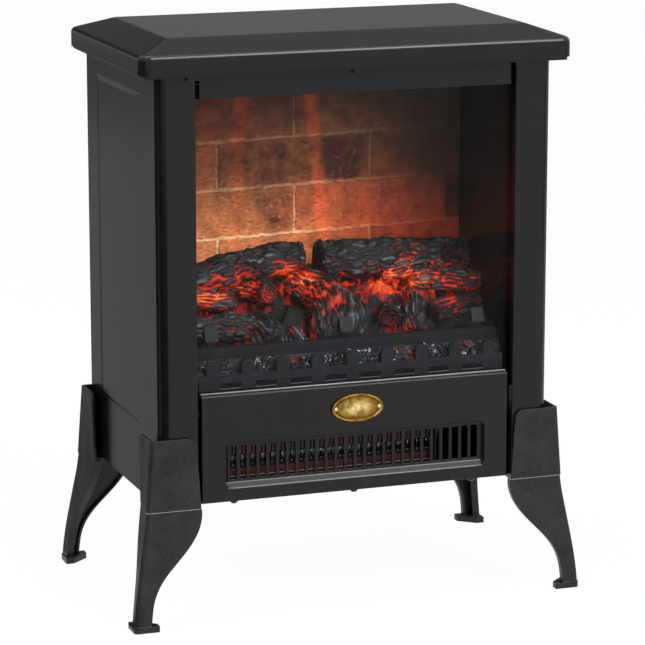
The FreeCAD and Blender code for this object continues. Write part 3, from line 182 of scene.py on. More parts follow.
# Cards: the axis that each lies square to, where it is on that axis, its corners, and how light it looks.
across, along, up = 0, 1, 2
lift = 0.004
wall = 2.95
ceiling = 2.6
for name, square_to, offset, corners, level in (
        ("side_card", up, lift, ((-0.24, -0.02), (-0.24, 0.14), (-0.5, 2.9), (-1.64, 2.9)), 0.36),
        ("far_side_card", up, lift, ((-0.5, 2.9), (-0.9, 8.9), (-4.5, 8.9), (-1.64, 2.9)), 0.17),
        ("corner_card", up, lift,
         ((-0.21, -0.15), (0.0, -3.2), (-8.9, -3.2), (-8.9, 8.9), (-4.5, 8.9), (-0.24, -0.02)), 0.0),
        ("flank_card", up, 2 * lift, ((-0.5, -0.1), (-0.5, 0.1), (-8.9, 0.9), (-8.9, -0.9)), 0.45),
        ("left_card", across, -4.2, ((-4.0, 0.01), (3.0, 0.01), (3.0, 1.6), (-4.0, 1.6)), 0.1),
        ("right_rear_card", up, lift, ((0.5, 0.3), (8.9, 1.2), (8.9, 8.9), (0.5, 8.9)), 0.3),
        ("right_front_card", up, lift, ((1.2, -0.35), (2.6, -2.2), (8.9, -4.0), (8.9, -1.2)), 0.3),
        ("rear_card", up, lift,
         ((-0.24, 0.14), (-0.2, 0.14), (-0.06, 2.9), (0.1, 8.9), (-0.9, 8.9), (-0.5, 2.9)), 0.02),
        ("fold_card", along, wall, ((-2.4, 0.2), (-0.1, 0.2), (-0.1, 0.75), (-2.4, 0.75)), 0.4),
        ("back_card", along, wall,
         ((-0.1, 0.02), (3.0, 0.02), (3.0, 2.4), (0.55, 2.4), (0.55, 1.25), (-0.1, 1.25)), 0.27),
        ("hip_card", along, wall,
         ((-2.4, 0.75), (-0.1, 0.75), (-0.1, 1.25), (0.55, 1.25), (0.55, 2.4), (-2.4, 2.4)), 0.07),
        ("sill_card", up, ceiling, ((0.3, -1.3), (1.5, -1.3), (1.5, -0.1), (0.3, -0.1)), 3.0),
        ("upper_card", along, wall, ((-0.6, 2.4), (3.4, 2.4), (3.4, 5.5), (-0.6, 5.5)), 0.46)):
    card_mesh = bpy.data.meshes.new(name)
    places = [corner[:square_to] + (offset,) + corner[square_to:] for corner in corners]
    card_mesh.from_pydata(places, [], [range(len(corners))])
    card_paper, tree = blank_material(name + "_paper")
    paper = add(tree, "Emission", {"Strength": level})
    add(tree, "OutputMaterial", (paper,))
    card = new_piece(name, card_mesh, card_paper)
    for ray in ("camera", "diffuse", "transmission", "shadow"):
        setattr(card, "visible_" + ray, False)


# Case: base plate, back panel and two folded side panels of sheet steel, powder coated satin black.
# The panels are press formed, so every bend keeps a small radius and the raised fields have soft edges.
mm = 0.001


def finished_copy(node, name, radius, material, body="stove"):
    """A CAD solid as the workshop leaves it: facets joined, edges broken by a radius in mm, rounds smooth."""
    work = bmesh.new()
    work.from_mesh(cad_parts[node].data)
    bmesh.ops.remove_doubles(work, verts=work.verts, dist=0.002 * mm)
    bmesh.ops.dissolve_limit(work, angle_limit=math.radians(0.2), verts=work.verts, edges=work.edges)
    mesh = bpy.data.meshes.new(name)
    work.to_mesh(mesh)
    work.free()
    mesh.shade_smooth()
    piece = new_piece(name, mesh, material)
    edge = piece.modifiers.new("edge_radius", "BEVEL")
    edge.width = radius * mm
    edge.segments = 2
    edge.limit_method = "ANGLE"
    edge.angle_limit = math.radians(32.0)
    edge.use_clamp_overlap = False
    edge.harden_normals = True
    flats = piece.modifiers.new("flat_faces", "WEIGHTED_NORMAL")
    flats.keep_sharp = True
    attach(piece, body)
    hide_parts(node)
    return piece


def surface(name, shades, patch, grain, relief, rough, metal=0.0, shine=0.5):
    """A finish with a slow drift between two shades over patch mm, and a grain of grain mm that stands relief
    mm high and changes the roughness between two values."""
    material, tree = blank_material(name)
    place = add(tree, "TexCoord").outputs["Object"]
    drift = add(tree, "TexNoise", {"Vector": place, "Scale": 1000 / patch, "Detail": 5.0})
    speck = add(tree, "TexNoise", {"Vector": place, "Scale": 1000 / grain, "Detail": 2.0})
    both = add(tree, "Math", (drift, speck), "ADD")
    tone = add(tree, "MapRange", {"Value": both, "From Min": 0.7, "From Max": 1.3})
    shade = add(tree, "Mix", {0: tone, 6: srgb(shades[0]), 7: srgb(shades[1])}, data_type="RGBA")
    gloss = add(tree, "MapRange", {"Value": speck, "To Min": rough[0], "To Max": rough[1]})
    bump = add(tree, "Bump", {"Height": speck, "Distance": relief * mm})
    shader = add(tree, "BsdfPrincipled", {
        "Base Color": shade.outputs[2], "Roughness": gloss, "Normal": bump, "Metallic": metal,
        "Specular IOR Level": shine})
    add(tree, "OutputMaterial", (shader,))
    return material


# Powder coat: an even satin black with a faint orange peel, drawn at 3 mm so that it shows.
powder_coat = surface("powder_coated_steel", ("#08080a", "#0d0d0e"), 60.0, 3.0, 0.004, (0.2, 0.27), shine=0.3)
skin_x = 190.99
field_reach_y = 100.0
field_bottom, field_top = 150.0, 500.0
for node, name in (("base_plate", "base_tray"), ("back_panel", "rear_sheet"),
                   ("left_side_panel", "left_wrapper"), ("right_side_panel", "right_wrapper")):
    case_panel = finished_copy(node, name, 0.6, powder_coat)
    # The folds round a raised field are crisp, but for the long slope at its front.
    for fold in case_panel.data.edges:
        ends = [case_panel.data.vertices[corner].co for corner in fold.vertices]
        front = max(ends[0].y, ends[1].y) < 0.0 and abs(ends[0].y - ends[1].y) < mm
        fold.use_edge_sharp = not front and all(
            abs(end.x) > skin_x * mm and abs(end.y) < field_reach_y * mm
            and field_bottom * mm < end.z < field_top * mm for end in ends)


# Legs: four hollow mouldings of glass-filled nylon with a spark-eroded grain, curved down to a small foot.
# Each has a cuff that takes the corner of the case, and two screws from below.
grained_nylon = surface("grained_glass_filled_nylon", ("#0c0c0d", "#262627"), 25.0, 1.7, 0.07, (0.36, 0.46),
                        shine=0.3)


def paint_over(material, share, code):
    """Paints a finish matt in another colour where a share from its own node tree is 1."""
    tree = material.node_tree
    sockets = tree.nodes["Principled BSDF"].inputs
    paint, gloss = sockets["Base Color"], sockets["Roughness"]
    under = paint.links[0].from_socket
    over = add(tree, "Mix", {0: share, 6: under, 7: srgb(code)}, data_type="RGBA")
    tree.links.new(over.outputs[2], paint)
    matt = add(tree, "Math", (share, gloss.links[0].from_socket), "MAXIMUM")
    tree.links.new(matt.outputs[0], gloss)


def mark(material, code, *bands):
    """Paints a finish where its place lies in every band: an axis, and its middle and half width in mm."""
    tree = material.node_tree
    place = add(tree, "TexCoord").outputs["Object"]
    axes = add(tree, "SeparateXYZ", (place,)).outputs
    share = 1.0
    for axis, middle, half in bands:
        inside = add(tree, "Math", (axes[axis], middle * mm, half * mm), "COMPARE")
        share = add(tree, "Math", (inside, share), "MULTIPLY")
    paint_over(material, share, code)


# A pale line along the step under the cuff of the front legs is a painted highlight, where its edge would
# catch the light.
seam_height = 110.0
seam_highlight_width = 0.9
mark(grained_nylon, "#8b8b8d", ("Z", seam_height, seam_highlight_width / 2), ("Y", cad_low.y / mm, 60.0))
for node in ("front_left_leg", "front_right_leg", "rear_left_leg", "rear_right_leg"):
    finished_copy(node, node.replace("leg", "cabriole"), 0.4, grained_nylon)


# Fan heater: a plated duct behind the grille, mica boards strung with resistance ribbon, and a cross-flow fan
# below the window with its motor. A thermal cut-out and the terminal block sit beside it.
def dress(material, *nodes):
    """Gives CAD solids that stay in view their finish."""
    for node in nodes:
        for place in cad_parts[node].material_slots:
            place.material = material


# Zinc plate: a cool grey metal with a soft patchy spangle, about 6 mm across.
zinc_plate = surface("zinc_plated_steel", ("#8d9194", "#b4b8ba"), 6.0, 1.2, 0.02, (0.28, 0.45), metal=1.0)
# Duct sheet: aluminised steel gone dull and brown from the heat, and coloured nearly black as painted shade
# inside the duct.
heat_and_shade_darkened_sheet = surface("heat_and_shade_darkened_steel", ("#1b1816", "#2e2926"), 14.0, 2.0, 0.02, (0.5, 0.65), metal=0.5)
# Motor steel: drawn cans and clips, darker and duller than the plated sheet.
motor_steel = surface("drawn_motor_steel", ("#6d6e70", "#8b8c8d"), 12.0, 1.0, 0.02, (0.35, 0.5), metal=1.0)
# Mica: pressed flakes of 3 mm in a resin, a translucent red brown with a silky face.
mica_board = surface("pressed_mica", ("#2c100c", "#622a20"), 9.0, 3.0, 0.1, (0.3, 0.5))
# Resistance ribbon: bright nickel-chromium, oxidised in bands where it has been hot.
nickel_ribbon = surface("oxidised_nickel_chromium", ("#1d1a18", "#4a433e"), 7.0, 1.0, 0.01, (0.35, 0.5),
                        metal=1.0)
# Scaled ribbon: the same metal burnt nearly black and dull.
scaled_ribbon = surface("scaled_nickel_chromium", ("#060505", "#151210"), 7.0, 1.0, 0.01, (0.5, 0.6),
                        metal=1.0)
# Bush brass: turned, a warm yellow with a soft shine.
bush_brass = surface("turned_bush_brass", ("#a5803c", "#c6a052"), 10.0, 0.8, 0.02, (0.25, 0.35), metal=1.0)
# Fan sheet: bare aluminium as it leaves the mill, a pale satin.
fan_sheet = surface("mill_finish_aluminium", ("#a7aaac", "#c9cbcc"), 15.0, 1.0, 0.02, (0.3, 0.42), metal=1.0)
# Nylon: black, slightly waxy, moulded with a fine grain.
black_nylon = surface("moulded_black_nylon", ("#1c1c1d", "#29292a"), 15.0, 1.0, 0.05, (0.45, 0.6))
# The boards are painted dark as shade in the gap between them and along their lower edge, and a pale line of
# painted highlight runs just above that edge.
for code, middle, half in (("#0c0605", 140.0, 2.4), ("#050303", 128.4, 1.7), ("#a3968c", 130.5, 0.4)):
    mark(mica_board, code, ("Z", middle, half))
dress(heat_and_shade_darkened_sheet, "heater_duct")
dress(zinc_plate, "fan_housing", "flame_shelf", "spindle_bush_bracket", "spindle_motor_bracket",
      "light_shield")
dress(motor_steel, "fan_motor", "spindle_motor", "thermal_cutout", "thermostat_body")
dress(mica_board, "mica_boards")
dress(scaled_ribbon, "heating_ribbon")
dress(bush_brass, "fan_bush")
dress(fan_sheet, "fan_wheel")
dress(black_nylon, "terminal_block")


# Element: strands of resistance wire hang side by side in front of the upper mica board.
# Each ends in a tinned crimp over the gap between the boards, and starts again from a smaller one below.
def tree_with(name, floats, vectors=()):
    """A geometry tree with a geometry input and output, named lengths and vectors, and their identifiers."""
    tree = bpy.data.node_groups.new(name, "GeometryNodeTree")
    names = {}
    for kind, labels in (("Geometry", ("Geometry",)), ("Float", floats), ("Vector", vectors)):
        for label in labels:
            socket = tree.interface.new_socket(label, in_out="INPUT", socket_type="NodeSocket" + kind)
            names[label] = socket.identifier
    tree.interface.new_socket("Geometry", in_out="OUTPUT", socket_type="NodeSocketGeometry")
    return tree, names, add(tree, "NodeGroupInput").outputs


def grown(name, tree, names, values, start, faces=()):
    """A piece of the stove: the plain mesh that a geometry tree makes of start's points and faces."""
    seed_mesh = bpy.data.meshes.new(name)
    seed_mesh.from_pydata(start, [], faces)
    grower = new_piece(name, seed_mesh)
    nodes = grower.modifiers.new("tree", "NODES")
    nodes.node_group = tree
    for label, value in values.items():
        nodes[names[label]] = value
    bpy.context.view_layer.update()
    mesh = bpy.data.meshes.new_from_object(grower.evaluated_get(bpy.context.evaluated_depsgraph_get()))
    grower.modifiers.remove(nodes)
    grower.data = mesh
    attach(grower, "stove")
    return grower


# Crimp tin: pale sleeves, half bright.
crimp_tin = surface("tinned_crimp", ("#b9b6b0", "#efece6"), 4.0, 0.8, 0.01, (0.3, 0.4), metal=0.4)
board_low, board_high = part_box("mica_boards")
strand_pitch = 3.2
strand_stand_off = 1.2
strand_count = int((board_high.x - board_low.x) / (strand_pitch * mm))
for name, metal, radius, length, middle, slot in (
        ("element_strands", nickel_ribbon, 0.45, 14.5, 158.6, "heating_wire"),
        ("element_crimps", crimp_tin, 0.5, 1.9, 149.4, "plated_steel"),
        ("element_lower_crimps", crimp_tin, 0.4, 1.1, 141.6, "plated_steel")):
    tree, names, given = tree_with(name, ("Wire radius", "Wire length"))
    wire = add(tree, "MeshCylinder", {
        "Vertices": 8, "Radius": given["Wire radius"], "Depth": given["Wire length"]})
    hung = add(tree, "InstanceOnPoints", {"Points": given["Geometry"], "Instance": wire})
    hung = add(tree, "RealizeInstances", (hung,))
    hung = add(tree, "SetMaterial", {"Geometry": hung, "Material": metal})
    add(tree, "NodeGroupOutput", (hung,))
    places = [(board_low.x + (strand + 0.5) * strand_pitch * mm, board_low.y - strand_stand_off * mm,
               middle * mm) for strand in range(strand_count)]
    grown(name, tree, names, {"Wire radius": radius * mm, "Wire length": length * mm}, places)


# Flame effect: a turning spindle of crinkled foil in front of a row of lamps, on a shelf behind the bricks.
# A second row of lamps lights the ember bed from below.
# Foil: a bright mirror, crinkled every 2.5 mm, which throws moving glints.
crinkled_foil = surface("crinkled_flame_foil", ("#c8c8cb", "#f2f2f4"), 5.0, 2.5, 0.5, (0.08, 0.2), metal=1.0)
# Lamp board: a pale strip with a warm lens every 12 mm.
lamp_board, tree = blank_material("lamp_strip_board")
place = add(tree, "TexCoord").outputs["Object"]
lamp_pitch = 12.0
across = add(tree, "SeparateXYZ", (place,)).outputs["X"]
wave = add(tree, "Math", (across, 2 * math.pi / (lamp_pitch * mm)), "MULTIPLY")
wave = add(tree, "Math", (wave,), "SINE")
lens_spot = add(tree, "MapRange", {"Value": wave, "From Min": 0.5, "From Max": 0.8})
board = add(tree, "Mix", {0: lens_spot, 6: srgb("#d8d8d2"), 7: srgb("#ffd9a0")}, data_type="RGBA")
lamp_glow = add(tree, "Math", (lens_spot, 2.0), "MULTIPLY")
shader = add(tree, "BsdfPrincipled", {
    "Base Color": board.outputs[2], "Emission Color": srgb("#ff9a3c"), "Emission Strength": lamp_glow,
    "Roughness": 0.4})
add(tree, "OutputMaterial", (shader,))
dress(crinkled_foil, "flame_spindle")
dress(lamp_board, "ember_light_strip", "flame_light_strip")


# Firebox: floor, roof and two liners of folded sheet steel, screwed into the case behind the window.
# They are finished in gloss black enamel, which mirrors the fire.
gloss_enamel = surface("gloss_black_enamel", ("#0d0c0e", "#131215"), 40.0, 12.0, 0.002, (0.1, 0.16),
                       shine=0.4)
for node, name in (("firebox_floor", "firebox_tray"), ("firebox_roof", "firebox_top"),
                   ("left_liner", "left_fire_cheek"), ("right_liner", "right_fire_cheek")):
    finished_copy(node, name, 0.4, gloss_enamel)


# Brick backdrop: a thin vacuum-formed screen in running bond, printed in brick colours and lit from behind.
# A warm lamp shows low on the left, a red one on the right and in two upright tongues, and the top stays dim.
brick_length = 155.0
brick_height = 46.7
brick_joint = 3.3
first_bed = 331.0
bond_offset = -9.0
brick_relief = 1.8
print_lean = 0.022
panel_low, panel_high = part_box("brick_backdrop")

# Light and soot on the screen: centre x and z, reach in x and z, in mm, lean, hardness of the edge, level.
warm_light = ((-115, 318, 85, 52, 0.0, 2, 1.95), (-15, 316, 65, 50, 0.0, 2, 1.32),
              (-70, 402, 85, 50, 0.0, 2, 0.31), (25, 404, 60, 40, 0.0, 2, 0.42))
red_light = ((40, 345, 66, 40, 0.0, 2, 0.9), (120, 312, 60, 40, 0.0, 2, 0.4), (-90, 440, 75, 60, 0.0, 2, 0.2),
             (-65, 404, 6, 120, 0.05, 4, 0.42), (13, 404, 6.5, 120, -0.1, 4, 0.5),
             (18, 355, 7, 28, -0.1, 4, 0.5), (-94, 465, 6, 50, 0.0, 4, 0.12))
soot = ((-12, 402, 76, 22, 0.0, 6, 0.35), (42, 402, 21, 22, 0.0, 6, 0.4), (-29, 355, 19, 21, 0.0, 6, 0.4),
        (156, 356, 11, 22, 0.0, 6, 0.6), (0, 452, 170, 24, 0.0, 6, 0.2), (120, 402, 50, 23, 0.0, 6, 0.15))


def spread(tree, place, spots):
    """The spots of light or soot added up at a place on the screen."""
    total = 0.0
    for x, z, reach_x, reach_z, lean, hardness, level in spots:
        offset = add(tree, "VectorMath", (place, (x * mm, 0.0, z * mm)), "SUBTRACT")
        powers = []
        for scale in ((1 / (reach_x * mm), 0.0, -lean / (reach_x * mm)), (0.0, 0.0, 1 / (reach_z * mm))):
            share = add(tree, "VectorMath", (offset, scale), "DOT_PRODUCT").outputs["Value"]
            powers.append(add(tree, "Math", (share, hardness), "POWER"))
        distance = add(tree, "Math", powers, "ADD")
        fade = add(tree, "Math", (math.exp(-1), distance), "POWER")
        total = add(tree, "Math", (fade, level, total), "MULTIPLY_ADD")
    return total


def lit_clay(name, shades, fleck_code, painted_shade_share):
    """Printed brick or mortar: blotches of 18 mm, pale flecks of 5 mm, dark drag marks of 2.4 by 6 mm, and
    the light behind."""
    material, tree = blank_material(name)
    place = add(tree, "TexCoord").outputs["Object"]
    brick = add(tree, "Attribute", attribute_name="brick_tone").outputs["Fac"]
    drawn = add(tree, "VectorMath", (place, (0.38, 1.0, 1.0)), "MULTIPLY")
    blotch, fleck, pit = (
        add(tree, "TexNoise", {"Vector": spot, "Scale": 1000 / size, "Detail": 8.0, "Roughness": 0.6})
        for spot, size in ((place, 18.0), (place, 5.0), (drawn, 2.4)))
    tone = add(tree, "Math", (blotch, 2.0, -0.5), "MULTIPLY_ADD")
    tone = add(tree, "Math", (brick, 0.25, tone), "MULTIPLY_ADD")
    tone = add(tree, "Math", (tone, spread(tree, place, soot)), "SUBTRACT", use_clamp=True)
    clay = add(tree, "Mix", {0: tone, 6: srgb(shades[0]), 7: srgb(shades[1])}, data_type="RGBA").outputs[2]
    for speck, start, full, most, code in ((fleck, 0.58, 0.72, 0.5, fleck_code),
                                           (pit, 0.5, 0.3, 0.8, "#170c08")):
        share = add(tree, "MapRange", {"Value": speck, "From Min": start, "From Max": full, "To Max": most})
        clay = add(tree, "Mix", {0: share, 6: clay, 7: srgb(code)}, data_type="RGBA").outputs[2]
    lamps = [add(tree, "VectorMath", {0: srgb(code)[:3], "Scale": spread(tree, place, spots)},
                 "SCALE") for code, spots in (("#ffe2c6", warm_light), ("#ff7c4f", red_light))]
    light = add(tree, "VectorMath", lamps, "ADD")
    # The edges of the bricks and the back of the screen stay dark.
    normal = add(tree, "NewGeometry").outputs["True Normal"]
    faced = add(tree, "VectorMath", (normal, (0.0, -1.0, 0.0)), "DOT_PRODUCT").outputs["Value"]
    faced = add(tree, "Math", (faced, 0.0), "MAXIMUM")
    light = add(tree, "VectorMath", {0: light, "Scale": faced}, "SCALE")
    lit = add(tree, "VectorMath", (clay, light), "MULTIPLY")
    # The base colour is the print darkened by a share towards near black: painted shade, so that the screen
    # looks dark where no lamp lights it.
    unlit = add(tree, "Mix", {0: painted_shade_share, 6: clay, 7: srgb("#0d0706")}, data_type="RGBA").outputs[2]
    relief = add(tree, "Math", (pit, fleck), "ADD")
    bump = add(tree, "Bump", {"Height": relief, "Distance": 1.0 * mm, "Strength": 0.8})
    shader = add(tree, "BsdfPrincipled", {
        "Base Color": unlit, "Roughness": 0.7, "Normal": bump, "Emission Color": lit,
        "Emission Strength": 1.0})
    add(tree, "OutputMaterial", (shader,))
    return material


# The last number is the share of painted shade in each base colour.
brick_print = lit_clay("printed_brick", ("#45271b", "#b27550"), "#dcb08c", 0.84)
mortar_print = lit_clay("printed_mortar", ("#927863", "#d4bba2"), "#e6d3bd", 0.93)

courses = 7
columns = 4
smallest_brick = 4.0
edge_waver = 4.6
tree, names, given = tree_with(
    "running_bond", ("Relief", "Lean"), ("Pitch", "Joint", "First corner", "Low corner", "High corner"))
count = add(tree, "MeshGrid", {"Vertices X": columns, "Vertices Y": courses})
index = add(tree, "InputIndex")
course = add(tree, "Math", (index, courses), "MODULO")
column = add(tree, "Math", (index, courses), "DIVIDE")
column = add(tree, "Math", (column,), "FLOOR")
stagger = add(tree, "Math", (course, 1.0), "PINGPONG")
column = add(tree, "Math", (stagger, -0.5, column), "MULTIPLY_ADD")
cell = add(tree, "CombineXYZ", {"X": column, "Z": course})
low = add(tree, "VectorMath", (cell, given["Pitch"], given["First corner"]), "MULTIPLY_ADD")
high = add(tree, "VectorMath", (low, given["Pitch"]), "ADD")
high = add(tree, "VectorMath", (high, given["Joint"]), "SUBTRACT")
low = add(tree, "VectorMath", (low, given["Low corner"]), "MAXIMUM")
high = add(tree, "VectorMath", (high, given["High corner"]), "MINIMUM")
extent = add(tree, "VectorMath", (high, low), "SUBTRACT")
centre = add(tree, "VectorMath", (extent, (0.5, 0.5, 0.5), low), "MULTIPLY_ADD")
# Values that outlive the moving of the points are stored on them first.
sized = add(tree, "StoreNamedAttribute", {"Geometry": count, "Name": "extent", "Value": extent},
            data_type="FLOAT_VECTOR")
chance = add(tree, "RandomValue", {"Seed": 11}, data_type="FLOAT").outputs[1]
toned = add(tree, "StoreNamedAttribute", {"Geometry": sized, "Name": "brick_tone", "Value": chance},
            data_type="FLOAT")
placed = add(tree, "SetPosition", {"Geometry": toned, "Position": centre})
extent = add(tree, "InputNamedAttribute", {"Name": "extent"}, data_type="FLOAT_VECTOR")
parts = add(tree, "SeparateXYZ", (extent,)).outputs
smallest = add(tree, "Math", (parts["X"], parts["Z"]), "MINIMUM")
thin = add(tree, "Compare", {"A": smallest, "B": smallest_brick * mm}, "LESS_THAN", data_type="FLOAT")
whole = add(tree, "DeleteGeometry", {"Geometry": placed, "Selection": thin}, domain="POINT")
block = add(tree, "MeshCube", {"Vertices X": 52, "Vertices Y": 2, "Vertices Z": 16})
laid = add(tree, "InstanceOnPoints", {"Points": whole, "Instance": block, "Scale": extent})
bricks = add(tree, "RealizeInstances", (laid,))
# Worn edges that waver by up to 2.3 mm, and the lean of the print, kept inside the panel.
waver = add(tree, "TexNoise", {"Scale": 1000 / 9.0, "Detail": 4.0}).outputs["Color"]
waver = add(tree, "VectorMath", (waver, (0.5, 0.5, 0.5)), "SUBTRACT")
position = add(tree, "InputPosition")
spot = add(tree, "VectorMath", (waver, (edge_waver * mm, 0.0, edge_waver * mm), position), "MULTIPLY_ADD")
across = add(tree, "SeparateXYZ", (position,)).outputs["X"]
lean = add(tree, "Math", (across, given["Lean"]), "MULTIPLY")
lean = add(tree, "CombineXYZ", {"Z": lean})
spot = add(tree, "VectorMath", (spot, lean), "ADD")
spot = add(tree, "VectorMath", (spot, given["Low corner"]), "MAXIMUM")
spot = add(tree, "VectorMath", (spot, given["High corner"]), "MINIMUM")
bricks = add(tree, "SetPosition", {"Geometry": bricks, "Position": spot})
bricks = add(tree, "SetMaterial", {"Geometry": bricks, "Material": brick_print})
bed_low = add(tree, "CombineXYZ", {"Y": given["Relief"]})
bed_low = add(tree, "VectorMath", (bed_low, given["Low corner"]), "ADD")
bed_size = add(tree, "VectorMath", (given["High corner"], bed_low), "SUBTRACT")
bed_place = add(tree, "VectorMath", (bed_size, (0.5, 0.5, 0.5), bed_low), "MULTIPLY_ADD")
bed = add(tree, "MeshCube", {"Size": bed_size})
bed = add(tree, "Transform", {"Geometry": bed, "Translation": bed_place})
bed = add(tree, "SetMaterial", {"Geometry": bed, "Material": mortar_print})
wall = add(tree, "JoinGeometry", ([bricks, bed],))
add(tree, "NodeGroupOutput", (wall,))
first_corner = Vector((bond_offset + brick_joint / 2 - 1.5 * brick_length, 0.0,
                       first_bed + brick_joint / 2 - 3 * brick_height)) * mm
first_corner.y = panel_low.y
brick_wall = grown("brick_screen", tree, names, {
    "Relief": brick_relief * mm, "Lean": print_lean, "First corner": first_corner,
    "Pitch": (brick_length * mm, panel_high.y - panel_low.y, brick_height * mm),
    "Joint": (brick_joint * mm, 0.0, brick_joint * mm), "Low corner": panel_low, "High corner": panel_high},
    [(0, 0, 0)])
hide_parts("brick_backdrop")


# Log bed: one moulding in fire-proof resin, charred logs on a bank of embers, black, with its ridges dry
# brushed grey. Lamps below show red to yellow through its cracks and through the thin places of the bank.
bed_low, bed_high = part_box("log_bed")
floor_rise = 200.0

# Where the lamps show through: x, y, z and reach in mm, and heat. All at the height of the glow gets some.
ember_spots = (
    (56, -26, 286, 19, 0.5), (88, -6, 296, 22, 0.35), (98, 4, 306, 13, 0.3), (124, -10, 292, 16, 0.3),
    (-17, -24, 302, 14, 0.55), (-36, -8, 304, 16, 0.45), (-121, -38, 292, 18, 0.4), (-87, -18, 304, 20, 0.35),
    (-46, -44, 283, 11, 0.5), (93, -30, 284, 13, 0.35), (118, -42, 268, 12, 0.4), (4, -46, 286, 18, 0.25),
    (-95, -70, 249, 22, 0.25), (-36, -68, 254, 15, 0.5), (28, -70, 252, 14, 0.45), (62, -68, 247, 16, 0.45),
    (-26, -62, 266, 11, 0.4))
glow_height = 288.0
glow_spread = 17.0
glow_share = 0.33
# Humps of the bank: x, y, reach and rise in mm. They are smooth, and the lamps shine through them.
bank_humps = ((56, -26, 22, 17), (-44, -44, 12, 10))

# Logs: points of the axis in mm, radius at each end, how much wider than high, spacing of the slats, a seed.
charred_logs = (
    (((-157, 12, 282), (-108, 10, 297), (-60, 8, 308), (-12, 6, 312)), 18, 17, 1.0, 6.0, 3.1),
    (((4, 7, 308), (60, 9, 307), (112, 11, 305), (157, 12, 302)), 20, 17, 1.0, 6.5, 7.7),
    (((-84, 2, 286), (-70, -16, 287), (-58, -35, 288)), 12, 13, 1.05, 4.4, 11.3),
    (((-20, 2, 290), (-6, -26, 283), (0, -52, 270), (-2, -71, 236)), 16, 24, 1.2, 6.6, 15.9),
    (((62, -34, 265), (57, -47, 265), (52, -61, 264)), 11, 12.5, 1.05, 4.2, 19.2),
    (((88, -26, 272), (81, -46, 269), (76, -64, 248)), 10, 12, 1.1, 4.0, 21.7),
    (((-157, -50, 262), (-118, -54, 263), (-82, -56, 260)), 15, 13, 1.0, 5.0, 23.8),
    (((-82, -42, 262), (-72, -56, 257), (-64, -66, 248)), 14, 16, 1.1, 4.4, 27.4),
    (((-52, -52, 250), (-46, -62, 250), (-42, -72, 240)), 11, 12, 1.1, 4.4, 29.3),
    (((102, -46, 259), (124, -42, 263), (152, -38, 266)), 13, 12, 1.0, 4.6, 31.6),
    (((92, -12, 288), (122, -18, 286), (157, -25, 281)), 12, 13, 1.0, 4.8, 35.5),
    (((112, -2, 300), (84, -10, 296), (66, -6, 294)), 9, 8, 1.1, 4.2, 38.5),
    (((-134, -24, 286), (-112, -32, 284), (-94, -30, 284)), 10, 9, 1.1, 4.2, 41.9))
ring_step = 1.7
around = 96
cap_rings = 14
growth_ring = 5.0
groove_depth = 3.2
lump_size, fine_size = 22.0, 2.3
slat_sway, slat_break = 16.0, 21.0
crack_width, crack_length = 9.0, 13.0


def ember_heat(x, y, z):
    """How much lamp light comes through at a point of the bed."""
    total = glow_share * math.exp(-((z - glow_height) / glow_spread) ** 2)
    total += sum(heat * math.exp(-((x - a) ** 2 + (y - b) ** 2 + (z - c) ** 2) / reach ** 2)
                 for a, b, c, reach, heat in ember_spots)
    return min(total, 1.0)


def line_place(points, share):
    """A point on the smooth line through points, at a share of its length."""
    span = share * (len(points) - 1)
    start = min(int(span), len(points) - 2)
    f = span - start
    last = len(points) - 1
    before, here, there, after = (points[min(max(start + step, 0), last)] for step in (-1, 0, 1, 2))
    return 0.5 * (2 * here + (there - before) * f + (2 * before - 5 * here + 4 * there - after) * f * f
                  + (3 * here - before - 3 * there + after) * f ** 3)


bed_points = []
bed_faces = []
bed_ridges = []
bed_grain = []
fibre_length = 5.0


def keep_point(point, ridge, across, along):
    """Adds a point of the bed, held in the moulding's box, with its ridge's height and its grain's place."""
    bed_points.append([min(max(value, low / mm + 0.1), high / mm - 0.1)
                       for value, low, high in zip(point, bed_low, bed_high)])
    bed_ridges.append(min(max(ridge, 0.0), 1.0))
    bed_grain.extend((*across, along / fibre_length))


